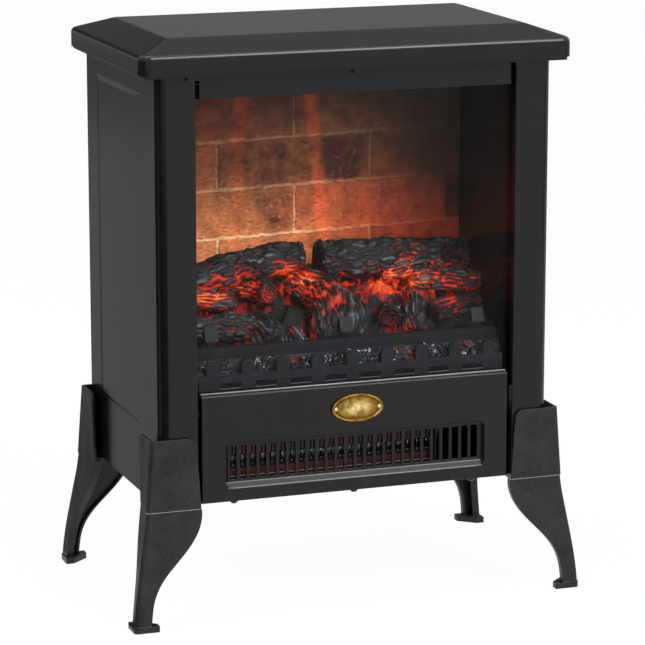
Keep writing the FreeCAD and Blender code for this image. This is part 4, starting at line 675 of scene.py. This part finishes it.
def add_log(axis, first_radius, last_radius, breadth, slat, seed):
    """Adds one closed log: charred slats along the grain, cross cracks and lumps, and rings on both ends."""
    points = [Vector(point) for point in axis]
    length = sum((b - a).length for a, b in zip(points, points[1:]))
    ends = points[-1] - points[0]
    level_axis = Vector((0, 1, 0)) if abs(ends.x) > abs(ends.y) else Vector((1, 0, 0))
    slats = round(math.pi * (first_radius + last_radius) / slat)
    rings = int(length / ring_step)
    rows = [(0.0, share / cap_rings, -1) for share in range(cap_rings)]
    rows += [(ring / rings, 1.0, 0) for ring in range(rings + 1)]
    rows += [(1.0, 1.0 - (share + 1) / cap_rings, 1) for share in range(cap_rings)]
    base = len(bed_points)
    for share, fraction, end in rows:
        centre = line_place(points, share)
        ahead, behind = line_place(points, min(share + 0.01, 1.0)), line_place(points, max(share - 0.01, 0.0))
        tangent = (ahead - behind).normalized()
        side = (level_axis - tangent * level_axis.dot(tangent)).normalized()
        top = tangent.cross(side)
        radius = first_radius + (last_radius - first_radius) * share
        edge = min(share, 1.0 - share) * length
        shoulder = 1.0 - 0.16 * math.exp(-edge / 2.2)
        for step in range(around):
            angle = 2 * math.pi * step / around
            ring_x, ring_y = math.cos(angle), math.sin(angle)
            spot = Vector((ring_x * radius, ring_y * radius, share * length + seed * 37.0))
            lump = noise.noise(spot / lump_size)
            fine = noise.noise(spot / fine_size)
            phase = slats * step / around + 0.9 * noise.noise(spot / slat_sway)
            crest = abs(math.sin(math.pi * phase))
            proud = noise.cell(Vector((math.floor(phase) % slats, seed, math.floor(spot.z / slat_break))))
            crack_spot = Vector((spot.x / crack_width, spot.y / crack_width, spot.z / crack_length))
            cell = noise.voronoi(crack_spot)[0]
            crack = max(0.0, 1.0 - (cell[1] - cell[0]) / 0.2)
            groove = max(0.75 * (1.0 - crest) ** 2, crack)
            reach = radius * shoulder * (1.0 + 0.13 * lump) - groove_depth * groove + 1.2 * proud + 0.6 * fine
            ridge = 0.45 + 0.6 * (crest - 0.5) - 0.6 * crack + 0.2 * fine + 0.25 * proud + 0.2 * lump
            along_axis = 0.0
            if end:
                swirl = fraction * radius + 1.5 * lump + growth_ring * step / around
                wave = math.sin(2 * math.pi * swirl / growth_ring)
                along_axis = end * (1.5 * wave + 1.5 * (1.0 - fraction) - 1.4 * crack)
                along_axis *= min(1.0, 3.0 * fraction)
                ridge = 0.35 + 0.4 * wave - 0.5 * crack
            outward = side * (ring_x * breadth) + top * ring_y
            place = centre + outward * (reach * fraction) + tangent * along_axis
            keep_point(place, ridge, (spot.x * fraction, spot.y * fraction), spot.z)
    for row in range(len(rows) - 1):
        for step in range(around):
            corner = base + row * around + step
            beside = base + row * around + (step + 1) % around
            bed_faces.append((corner, beside, beside + around, corner + around))


def add_bank():
    """Adds the bank: broken coals that climb from the front to the back, closed below by the tray's floor."""
    grid = 1.7
    coal_chunk = 13.0
    wide = int((bed_high.x - bed_low.x) / mm / grid)
    deep = int((bed_high.y - bed_low.y) / mm / grid)
    base = len(bed_points)
    for row in range(deep + 1):
        back = row / deep
        rise = 34 + 72 * back if back < 0.5 else 70 + 56 * (back - 0.5)
        for column in range(wide + 1):
            x = bed_low.x / mm + column * grid
            y = bed_low.y / mm + row * grid
            spot = Vector((x, y, 0.0))
            bent = spot + noise.noise_vector(spot / 9.0) * 3.0
            cells = noise.voronoi(bent / coal_chunk)
            crack = max(0.0, 1.0 - (cells[0][1] - cells[0][0]) / 0.3)
            lean = noise.cell_vector(cells[1][0] * 5.0)
            chunk = (bent - cells[1][0] * coal_chunk).dot(lean) * 0.7 + 5.0 * lean.z - 6.0 * crack
            fine = noise.noise(spot / 2.4)
            hump = smooth = 0.0
            for hump_x, hump_y, hump_reach, hump_rise in bank_humps:
                swell = math.exp(-((x - hump_x) ** 2 + (y - hump_y) ** 2) / hump_reach ** 2)
                hump += hump_rise * swell
                smooth = max(smooth, swell)
            rough = 1.0 - 0.85 * smooth
            z = floor_rise + rise + hump + chunk * rough + 1.1 * fine + 4.0 * noise.noise(spot / 30.0)
            keep_point((x, y, z), 0.5 - 0.05 * smooth - 0.8 * crack * rough + 0.45 * fine, (x, z), y * 3.0)
    rim = [base + column for column in range(wide + 1)]
    rim += [base + row * (wide + 1) + wide for row in range(1, deep + 1)]
    rim += [base + deep * (wide + 1) + column for column in range(wide - 1, -1, -1)]
    rim += [base + row * (wide + 1) for row in range(deep - 1, 0, -1)]
    for row in range(deep):
        for column in range(wide):
            corner = base + row * (wide + 1) + column
            bed_faces.append((corner, corner + 1, corner + wide + 2, corner + wide + 1))
    foot = len(bed_points)
    for corner in rim:
        x, y = bed_points[corner][:2]
        keep_point((x, y, floor_rise), 0.4, (x, y), 0.0)
    for place, corner in enumerate(rim):
        after = (place + 1) % len(rim)
        bed_faces.append((rim[after], corner, foot + place, foot + after))
    bed_faces.append([foot + place for place in range(len(rim) - 1, -1, -1)])


# Blender seeds the noise that bends the coals from the clock. A fixed seed makes every run alike.
bank_seed = 1795792121
noise.seed_set(bank_seed)
add_bank()
for log in charred_logs:
    add_log(*log)
bed_mesh = bpy.data.meshes.new("charred_bed")
bed_mesh.from_pydata([Vector(point) * mm for point in bed_points], [], bed_faces)
bed_mesh.attributes.new("ridge", "FLOAT", "POINT").data.foreach_set("value", bed_ridges)
bed_mesh.attributes.new("grain", "FLOAT_VECTOR", "POINT").data.foreach_set("vector", bed_grain)
bed_embers = [ember_heat(*point) for point in bed_points]
bed_mesh.attributes.new("ember", "FLOAT", "POINT").data.foreach_set("value", bed_embers)
work = bmesh.new()
work.from_mesh(bed_mesh)
bmesh.ops.remove_doubles(work, verts=work.verts, dist=0.01 * mm)
bmesh.ops.recalc_face_normals(work, faces=work.faces)
work.to_mesh(bed_mesh)
work.free()
bed_mesh.shade_smooth()

# Charred resin: matt black in the cracks, dry brushed blue grey on the ridges and on fibres of 0.9 by 5 mm.
charred_resin, tree = blank_material("charred_log_resin")
place = add(tree, "TexCoord").outputs["Object"]
ridge, ember = (add(tree, "Attribute", attribute_name=name).outputs["Fac"] for name in ("ridge", "ember"))
grain = add(tree, "Attribute", attribute_name="grain").outputs["Vector"]
fibre = add(tree, "TexNoise", {"Vector": grain, "Scale": 1 / 0.9, "Detail": 3.0})
patch = add(tree, "TexNoise", {"Vector": place, "Scale": 1000 / 11.0, "Detail": 4.0})
brushed = add(tree, "Math", (fibre, 1.1, -0.75), "MULTIPLY_ADD")
brushed = add(tree, "Math", (patch, 0.6, brushed), "MULTIPLY_ADD")
brushed = add(tree, "Math", (ridge, 0.85, brushed), "MULTIPLY_ADD")
char = add(tree, "ValToRGB", (brushed,), stops=(
    (0.0, "#020202"), (0.3, "#0b0b0c"), (0.55, "#1c1e20"), (0.78, "#3f4348"), (1.0, "#8b939b")))
glow = add(tree, "Math", (ridge, -1.25, 0.12), "MULTIPLY_ADD")
glow = add(tree, "Math", (ember, 1.3, glow), "MULTIPLY_ADD")
glow = add(tree, "Math", (patch, 0.8, glow), "MULTIPLY_ADD")
glow = add(tree, "Math", (glow, 0.46), "SUBTRACT")
lamp_light = add(tree, "ValToRGB", (glow,), stops=(
    (0.0, "#000000"), (0.15, "#260402"), (0.4, "#a01807"), (0.6, "#ea3209"), (0.8, "#ff6d18"),
    (0.96, "#ffb148")))
bump = add(tree, "Bump", {"Height": fibre, "Distance": 1.3 * mm, "Strength": 1.0})
shader = add(tree, "BsdfPrincipled", {
    "Base Color": char, "Roughness": 0.42, "Normal": bump, "Emission Color": lamp_light,
    "Emission Strength": 1.0})
add(tree, "OutputMaterial", (shader,))
log_bed = new_piece("charred_bed", bed_mesh, charred_resin)
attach(log_bed, "stove")
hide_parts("log_bed")


# Fret: a moulded grate front with pointed merlons, a rail and three square heads, in a charcoal satin.
# A strip of small glossy coals is glued along the sloping ledge behind its fence.
grate_satin = surface("charcoal_satin_moulding", ("#222227", "#29292f"), 18.0, 5.0, 0.002, (0.44, 0.5),
                      shine=0.16)
# The pockets between the merlons hold a shadow, and light catches the lower lip of each.
fret_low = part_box("fire_fret")[0]
pocket_depth = 1.5
pocket_middle = 19.75
pocket_half = 2.7
mark(grate_satin, "#17171a", ("Y", fret_low.y / mm + pocket_depth, 0.3),
     ("Z", fret_low.z / mm + pocket_middle, pocket_half))
mark(grate_satin, "#8c8c94", ("Y", fret_low.y / mm + pocket_depth / 2, 0.6),
     ("Z", fret_low.z / mm + pocket_middle - pocket_half, 0.4))
finished_copy("fire_fret", "toothed_grate", 0.4, grate_satin)

ledge_half = 149.0
ledge_front = (-98.6, 226.5)
ledge_back = (-89.0, 239.6)
coal_size = 4.6
coal_density = 95000.0
coal_seed = 5
coal_crumple = 5.0

# Coals: flakes of dark glass and resin, mirror bright on their facets, with a red glint from the lamps below.
glossy_coal, tree = blank_material("glossy_coal_flakes")
place = add(tree, "TexCoord").outputs["Object"]
patch = add(tree, "TexNoise", {"Vector": place, "Scale": 1000 / 14.0, "Detail": 2.0})
chip = add(tree, "TexNoise", {"Vector": place, "Scale": 1000 / 5.0, "Detail": 3.0})
shade = add(tree, "Mix", {0: chip, 6: srgb("#0a0b0d"), 7: srgb("#6b7178")}, data_type="RGBA").outputs[2]
gloss = add(tree, "MapRange", {"Value": chip, "To Min": 0.1, "To Max": 0.35})
warm = add(tree, "MapRange", {"Value": patch, "From Min": 0.56, "From Max": 0.74})
warm = add(tree, "Math", (warm, chip), "MULTIPLY")
shader = add(tree, "BsdfPrincipled", {
    "Base Color": shade, "Metallic": 0.6, "Roughness": gloss, "Emission Color": srgb("#c01c08"),
    "Emission Strength": warm})
add(tree, "OutputMaterial", (shader,))

tree, names, given = tree_with("ember_coals", ("Coal size", "Coals per area"))
strewn = add(tree, "DistributePointsOnFaces", {
    "Mesh": given["Geometry"], "Density": given["Coals per area"], "Seed": coal_seed})
coal = add(tree, "MeshIcoSphere", {"Radius": given["Coal size"], "Subdivisions": 2})
turn = add(tree, "RandomValue", {"Max": (6.28, 6.28, 6.28), "Seed": coal_seed}, data_type="FLOAT_VECTOR")
stretch = add(tree, "RandomValue", {
    "Min": (0.2, 0.5, 0.7), "Max": (0.45, 0.9, 1.4), "Seed": coal_seed + 1}, data_type="FLOAT_VECTOR")
laid = add(tree, "InstanceOnPoints", {
    "Points": strewn, "Instance": coal, "Rotation": turn, "Scale": stretch})
coals = add(tree, "RealizeInstances", (laid,))
crumple = add(tree, "TexNoise", {"Scale": 1000 / 3.5, "Detail": 2.0})
shift = add(tree, "VectorMath", (crumple.outputs["Color"], (0.5, 0.5, 0.5)), "SUBTRACT")
shift = add(tree, "VectorMath", {0: shift, "Scale": coal_crumple * mm}, "SCALE")
coals = add(tree, "SetPosition", {"Geometry": coals, "Offset": shift})
coals = add(tree, "SetMaterial", {"Geometry": coals, "Material": glossy_coal})
add(tree, "NodeGroupOutput", (coals,))
ledge = [(x * ledge_half * mm, y * mm, z * mm) for x, (y, z) in (
    (-1, ledge_front), (1, ledge_front), (1, ledge_back), (-1, ledge_back))]
grown("coal_strip", tree, names, {"Coal size": coal_size * mm, "Coals per area": coal_density},
      ledge, [(0, 1, 2, 3)])


# Window: a single sheet of clear toughened glass, clear face on and a mirror at a slant.
# It is held at the top by foam tape and at the bottom by a bead.
clear_glass, tree = blank_material("toughened_glass")
smear = add(tree, "TexNoise", {"Vector": add(tree, "TexCoord").outputs["Object"], "Scale": 12.0})
haze = add(tree, "MapRange", {"Value": smear, "To Min": 0.0, "To Max": 0.03})
clear = add(tree, "BsdfTransparent", {"Color": srgb("#f4f6f5")})
shine = add(tree, "BsdfAnisotropic", {"Color": srgb("#ffffff"), "Roughness": haze})
edge_on = add(tree, "Fresnel", {"IOR": 1.14})
pane = add(tree, "MixShader", (edge_on, clear, shine))
add(tree, "OutputMaterial", (pane,))
dress(clear_glass, "window_glass")

# A black foam tape seals the top edge of the glass to the posts, and a narrow bead holds it along the fascia.
glass_low, glass_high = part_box("window_glass")
sill_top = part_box("lower_fascia")[1].z
foam_tape = surface("black_foam_tape", ("#060606", "#0b0b0b"), 8.0, 1.2, 0.1, (0.8, 0.95), shine=0.1)
# The bead is grey vinyl, and its pale grey, far lighter than the black around it, also stands as a painted
# highlight along the top of the fascia.
bead_vinyl_highlight = surface("extruded_grey_vinyl_highlight", ("#6d6e70", "#8a8b8d"), 20.0, 1.5, 0.004, (0.22, 0.3))
edge_round = 0.6
tape_height, bead_height = 13.0, 1.4
for name, half, thickness, bottom, top, material in (
        ("glass_tape", 154.0, 2.4, glass_high.z - tape_height * mm, glass_high.z, foam_tape),
        ("glazing_bead", 150.5, 2.2, sill_top, sill_top + bead_height * mm, bead_vinyl_highlight)):
    strip = bmesh.new()
    shape = Matrix.Diagonal((2 * half * mm, thickness * mm, top - bottom, 1.0))
    middle = Vector((0.0, glass_low.y - thickness * mm / 2, (bottom + top) / 2))
    bmesh.ops.create_cube(strip, size=1.0, matrix=Matrix.Translation(middle) @ shape)
    bmesh.ops.bevel(strip, geom=strip.edges[:], offset=edge_round * mm, segments=3, profile=0.5,
                    affect="EDGES")
    strip_mesh = bpy.data.meshes.new(name)
    strip.to_mesh(strip_mesh)
    strip.free()
    strip_mesh.shade_smooth()
    seal = new_piece(name, strip_mesh, material)
    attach(seal, "stove")


# Fascia: a moulding in the same black as the legs, smoother, with a recessed grille of upright slots.
# It closes the case below the window, and three screws hold it from below.
satin_moulding = surface("satin_black_moulding", ("#0a0a0b", "#0f0f10"), 40.0, 2.4, 0.005, (0.24, 0.32),
                         shine=0.3)
# The left end of the grille lies in the shadow of its recess.
recess_floor = -109.0
recess_end = -128.0
shadow_width = 3.4
mark(satin_moulding, "#020202", ("Y", recess_floor, 0.4),
     ("X", recess_end + shadow_width / 2, shadow_width / 2))
# Both edges of the grille's sill get a painted highlight, a pale line where the light would catch them.
for sill_y, sill_z, half in ((-113.6, 125.3, 0.5), (-109.5, 129.6, 0.4)):
    mark(satin_moulding, "#757577", ("Y", sill_y, half), ("Z", sill_z, half), ("X", 0.0, -recess_end - 2.0))
finished_copy("lower_fascia", "grille_fascia", 0.5, satin_moulding)


# Badge: an oval casting in antique brass with a raised rim and a bare stippled field.
# Two dome pins hold it to the fascia.
badge_low, badge_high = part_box("badge_plate")
badge_middle = (badge_low + badge_high) / 2
badge_half = (badge_high - badge_low) / 2


def upright_offset(tree, middle, scale=(1.0, 0.0, 1.0)):
    """How far a place lies from a middle on an upright face, scaled, as a vector and a length."""
    place = add(tree, "TexCoord").outputs["Object"]
    offset = add(tree, "VectorMath", (place, middle), "SUBTRACT")
    offset = add(tree, "VectorMath", (offset, scale), "MULTIPLY")
    return offset, add(tree, "VectorMath", (offset,), "LENGTH").outputs["Value"]


# Antique brass: bright where rubbed, brown in the hollow beside the rim, mottled, stippled every 1.6 mm.
antique_brass, tree = blank_material("antique_brass")
place = add(tree, "TexCoord").outputs["Object"]
oval = upright_offset(tree, badge_middle, (1 / badge_half.x, 0.0, 1 / badge_half.z))[1]
stipple = add(tree, "TexVoronoi", {"Vector": place, "Scale": 1000 / 1.6}).outputs["Distance"]
mottle = add(tree, "TexNoise", {"Vector": place, "Scale": 1000 / 6.0, "Detail": 4.0, "Roughness": 0.55})
patina = add(tree, "ValToRGB", (oval,), stops=(
    (0.0, "#ffecb4"), (0.4, "#e2bd6c"), (0.78, "#86601f"), (0.87, "#3c2608"), (0.905, "#d8ac55"),
    (1.0, "#6d4914")))
tarnish = add(tree, "MapRange", {"Value": mottle, "From Min": 0.6, "From Max": 0.36, "To Max": 0.7})
brass = add(tree, "Mix", {0: tarnish, 6: patina, 7: srgb("#573b10")}, data_type="RGBA").outputs[2]
bump = add(tree, "Bump", {"Height": stipple, "Distance": 0.25 * mm, "Strength": 0.7})
gloss = add(tree, "MapRange", {"Value": mottle, "To Min": 0.36, "To Max": 0.2})
shader = add(tree, "BsdfPrincipled", {
    "Base Color": brass, "Metallic": 1.0, "Roughness": gloss, "Normal": bump})
add(tree, "OutputMaterial", (shader,))
# Pin brass: small domes left bright.
pin_brass = surface("polished_pin_brass", ("#d9c48c", "#f4ead0"), 4.0, 0.6, 0.005, (0.15, 0.25), metal=1.0)
for node, name, radius, brass in (("badge_plate", "oval_badge", 0.35, antique_brass),
                                  ("badge_pins", "badge_dome_pins", 0.2, pin_brass)):
    finished_copy(node, name, radius, brass)


# Header rail, lid frame and lid: folded and pressed sheet steel in the case's powder coat.
# The frame rests on the case and the lid on the frame, held by screws from below.
for node, name, radius in (("header_rail", "window_header", 0.6), ("lid_frame", "lid_step", 0.5),
                           ("top_lid", "lid_pressing", 0.6)):
    finished_copy(node, name, radius, powder_coat)


# Rear controls: a bezel moulded in ABS and screwed to the back panel, with three nylon rockers and the knob
# of the thermostat. The supply's nylon gland and its nut sit low in the same panel.
# Control plastics: black with a fine grain, and smoother and glossier on the rockers.
control_black, bezel_black, dial_black = (
    surface(name, ("#1f1f20", "#2a2a2b"), 20.0, 1.2, 0.05, (0.4, 0.55))
    for name in ("moulded_control_abs", "printed_bezel_abs", "moulded_dial_abs"))
rocker_black = surface("polished_rocker_nylon", ("#151516", "#1d1d1e"), 10.0, 1.0, 0.02, (0.18, 0.3))
# White marks: a bar and a ring on each rocker, ticks round the dial, and a line in its pointer.
mark_white = "#e4e4e0"
control_height = 430.0
bar_rise, bar_half, line_half = 4.0, 1.8, 0.35
ring_drop, ring_radius = 4.0, 1.7
tree = rocker_black.node_tree
for rocker_x in (51.0, 73.0, 95.0):
    mark(rocker_black, mark_white, ("X", rocker_x, line_half), ("Z", control_height + bar_rise, bar_half))
    reach = upright_offset(tree, (rocker_x * mm, 0.0, (control_height - ring_drop) * mm))[1]
    ring = add(tree, "Math", (reach, ring_radius * mm, line_half * mm), "COMPARE")
    paint_over(rocker_black, ring, mark_white)
dial_x = 131.0
tick_radius, tick_half = 19.2, 1.4
tick_turns = 8
tick_width = 0.025
tick_stop = 17.0
tree = bezel_black.node_tree
offset, reach = upright_offset(tree, (dial_x * mm, 0.0, control_height * mm))
axes = add(tree, "SeparateXYZ", (offset,)).outputs
turn = add(tree, "Math", (axes["Z"], axes["X"]), "ARCTAN2")
turn = add(tree, "Math", (turn, tick_turns / (2 * math.pi)), "MULTIPLY")
near = add(tree, "Math", (turn,), "ROUND")
tick = add(tree, "Math", (turn, near, tick_width), "COMPARE")
reach = add(tree, "Math", (reach, tick_radius * mm, tick_half * mm), "COMPARE")
# The dial turns from the top to its own left, and the quarter that it never reaches has no tick.
stop_way = (math.sqrt(0.5), 0.0, math.sqrt(0.5))
swept = add(tree, "VectorMath", (offset, stop_way), "DOT_PRODUCT").outputs["Value"]
swept = add(tree, "Math", (swept, tick_stop * mm), "LESS_THAN")
tick = add(tree, "Math", (tick, reach), "MULTIPLY")
tick = add(tree, "Math", (tick, swept), "MULTIPLY")
paint_over(bezel_black, tick, mark_white)
pointer_rise, pointer_half = 9.8, 5.4
mark(dial_black, mark_white, ("X", dial_x, 0.75), ("Z", control_height + pointer_rise, pointer_half))
for node, name, radius, finish, slot, body in (
        ("control_bezel", "rear_bezel", 0.5, bezel_black, "control_plastic", "stove"),
        ("switch_bodies", "switch_cases", 0.3, control_black, "control_plastic", "stove"),
        *((rocker, rocker + "_cap", 0.4, rocker_black, "rocker_plastic", rocker)
          for rocker in ("flame_rocker", "low_heat_rocker", "high_heat_rocker")),
        ("thermostat_knob", "thermostat_dial", 0.2, dial_black, "knob_plastic", "thermostat_knob"),
        ("cord_gland", "inlet_gland", 0.3, black_nylon, "nylon", "stove"),
        ("gland_nut", "inlet_gland_nut", 0.3, black_nylon, "nylon", "stove")):
    finished_copy(node, name, radius, finish, body)


# Screws: pan heads with a cross recess, black zinc, in the lid, back, base, fascia, legs and bezel.
# Each sits in its seat with its shank in the sheet behind.
# Black zinc: nearly black, with a low metallic sheen.
black_zinc = surface("black_zinc_screws", ("#191a1b", "#2c2d2f"), 5.0, 0.8, 0.02, (0.3, 0.42), metal=0.6)
tree, names, given = tree_with(
    "cross_recess_screws", ("Head radius", "Head height", "Shank radius", "Shank length"), ("Facing",))
radius, height = given["Head radius"], given["Head height"]
square = add(tree, "Math", (radius, radius), "MULTIPLY")
square = add(tree, "Math", (height, height, square), "MULTIPLY_ADD")
dome_radius = add(tree, "Math", (square, 0.56), "MULTIPLY")
dome_radius = add(tree, "Math", (dome_radius, height), "DIVIDE")
dome = add(tree, "MeshUVSphere", {"Radius": dome_radius, "Segments": 32, "Rings": 24})
middle = add(tree, "Math", (height, dome_radius), "SUBTRACT")
middle = add(tree, "CombineXYZ", {"Z": middle})
dome = add(tree, "Transform", {"Geometry": dome, "Translation": middle})
rods = []
for rod_radius, depth, way, sides in ((radius, height, 0.5, 32),
                                      (given["Shank radius"], given["Shank length"], -0.5, 20)):
    rod = add(tree, "MeshCylinder", {"Vertices": sides, "Radius": rod_radius, "Depth": depth})
    middle = add(tree, "Math", (depth, way), "MULTIPLY")
    middle = add(tree, "CombineXYZ", {"Z": middle})
    rods.append(add(tree, "Transform", {"Geometry": rod, "Translation": middle}))
drum, shank = rods
head = add(tree, "MeshBoolean", {"Mesh 2": [dome, drum]}, "INTERSECT")
long_side = add(tree, "Math", (radius, 1.1), "MULTIPLY")
short_side = add(tree, "Math", (radius, 0.26), "MULTIPLY")
head_top = add(tree, "CombineXYZ", {"Z": height})
slots = []
for long_way, short_way in (("X", "Y"), ("Y", "X")):
    bar = add(tree, "CombineXYZ", {long_way: long_side, short_way: short_side, "Z": height})
    bar = add(tree, "MeshCube", {"Size": bar})
    slots.append(add(tree, "Transform", {"Geometry": bar, "Translation": head_top}))
head = add(tree, "MeshBoolean", {"Mesh 1": head, "Mesh 2": slots}, "DIFFERENCE")
screw = add(tree, "JoinGeometry", ([head, shank],))
facing = add(tree, "AlignRotationToVector", {"Vector": given["Facing"]}, axis="Z")
spin = add(tree, "RandomValue", {"Max": 3.0, "Seed": 4}, data_type="FLOAT")
spin = add(tree, "AxisAngleToRotation", {"Axis": (0, 0, 1), "Angle": spin.outputs[1]})
facing = add(tree, "RotateRotation", (facing, spin), rotation_space="LOCAL")
driven = add(tree, "InstanceOnPoints", {
    "Points": given["Geometry"], "Instance": screw, "Rotation": facing})
driven = add(tree, "RealizeInstances", {"Geometry": driven})
driven = add(tree, "SetMaterial", {"Geometry": driven, "Material": black_zinc})
add(tree, "NodeGroupOutput", (driven,))

down, rear = (0.0, 0.0, -1.0), (0.0, 1.0, 0.0)
case_x = 183.5
screw_sets = (
    ("lid_screws", "lid_pan_screws", down, 506.0,
     [(x, y) for x in (-case_x, case_x) for y in (-80, 0, 80)] + [(-100, -104.4), (100, -104.4)]),
    ("back_screws", "back_pan_screws", rear, 116.0,
     [(x, z) for x in (-case_x, case_x) for z in (200, 340, 480)]),
    ("base_screws", "base_pan_screws", down, 112.0, [(x, y) for x in (-case_x, case_x) for y in (-40, 40)]),
    ("fascia_screws", "fascia_pan_screws", down, 112.0, [(x, -105.5) for x in (-118, 0, 118)]),
    ("leg_screws", "leg_pan_screws", down, 108.0,
     [(x * a, y * b) for x, y in ((172, 90), (160, 106)) for a in (-1, 1) for b in (-1, 1)]),
    ("bezel_screws", "bezel_pan_screws", rear, 118.5, [(33.8, 430), (156.2, 430)]))
head_radius = 3.8
shank_radius = 1.5
for node, name, facing, seat, places in screw_sets:
    low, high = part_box(node)
    if facing is down:
        seats = [(x * mm, y * mm, seat * mm) for x, y in places]
        head_height, shank_length = seat * mm - low.z, high.z - seat * mm
    else:
        seats = [(x * mm, seat * mm, z * mm) for x, z in places]
        head_height, shank_length = high.y - seat * mm, seat * mm - low.y
    screws = grown(name, tree, names, {
        "Head radius": head_radius * mm, "Head height": head_height, "Shank radius": shank_radius * mm,
        "Shank length": shank_length, "Facing": facing}, seats)
    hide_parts(node)
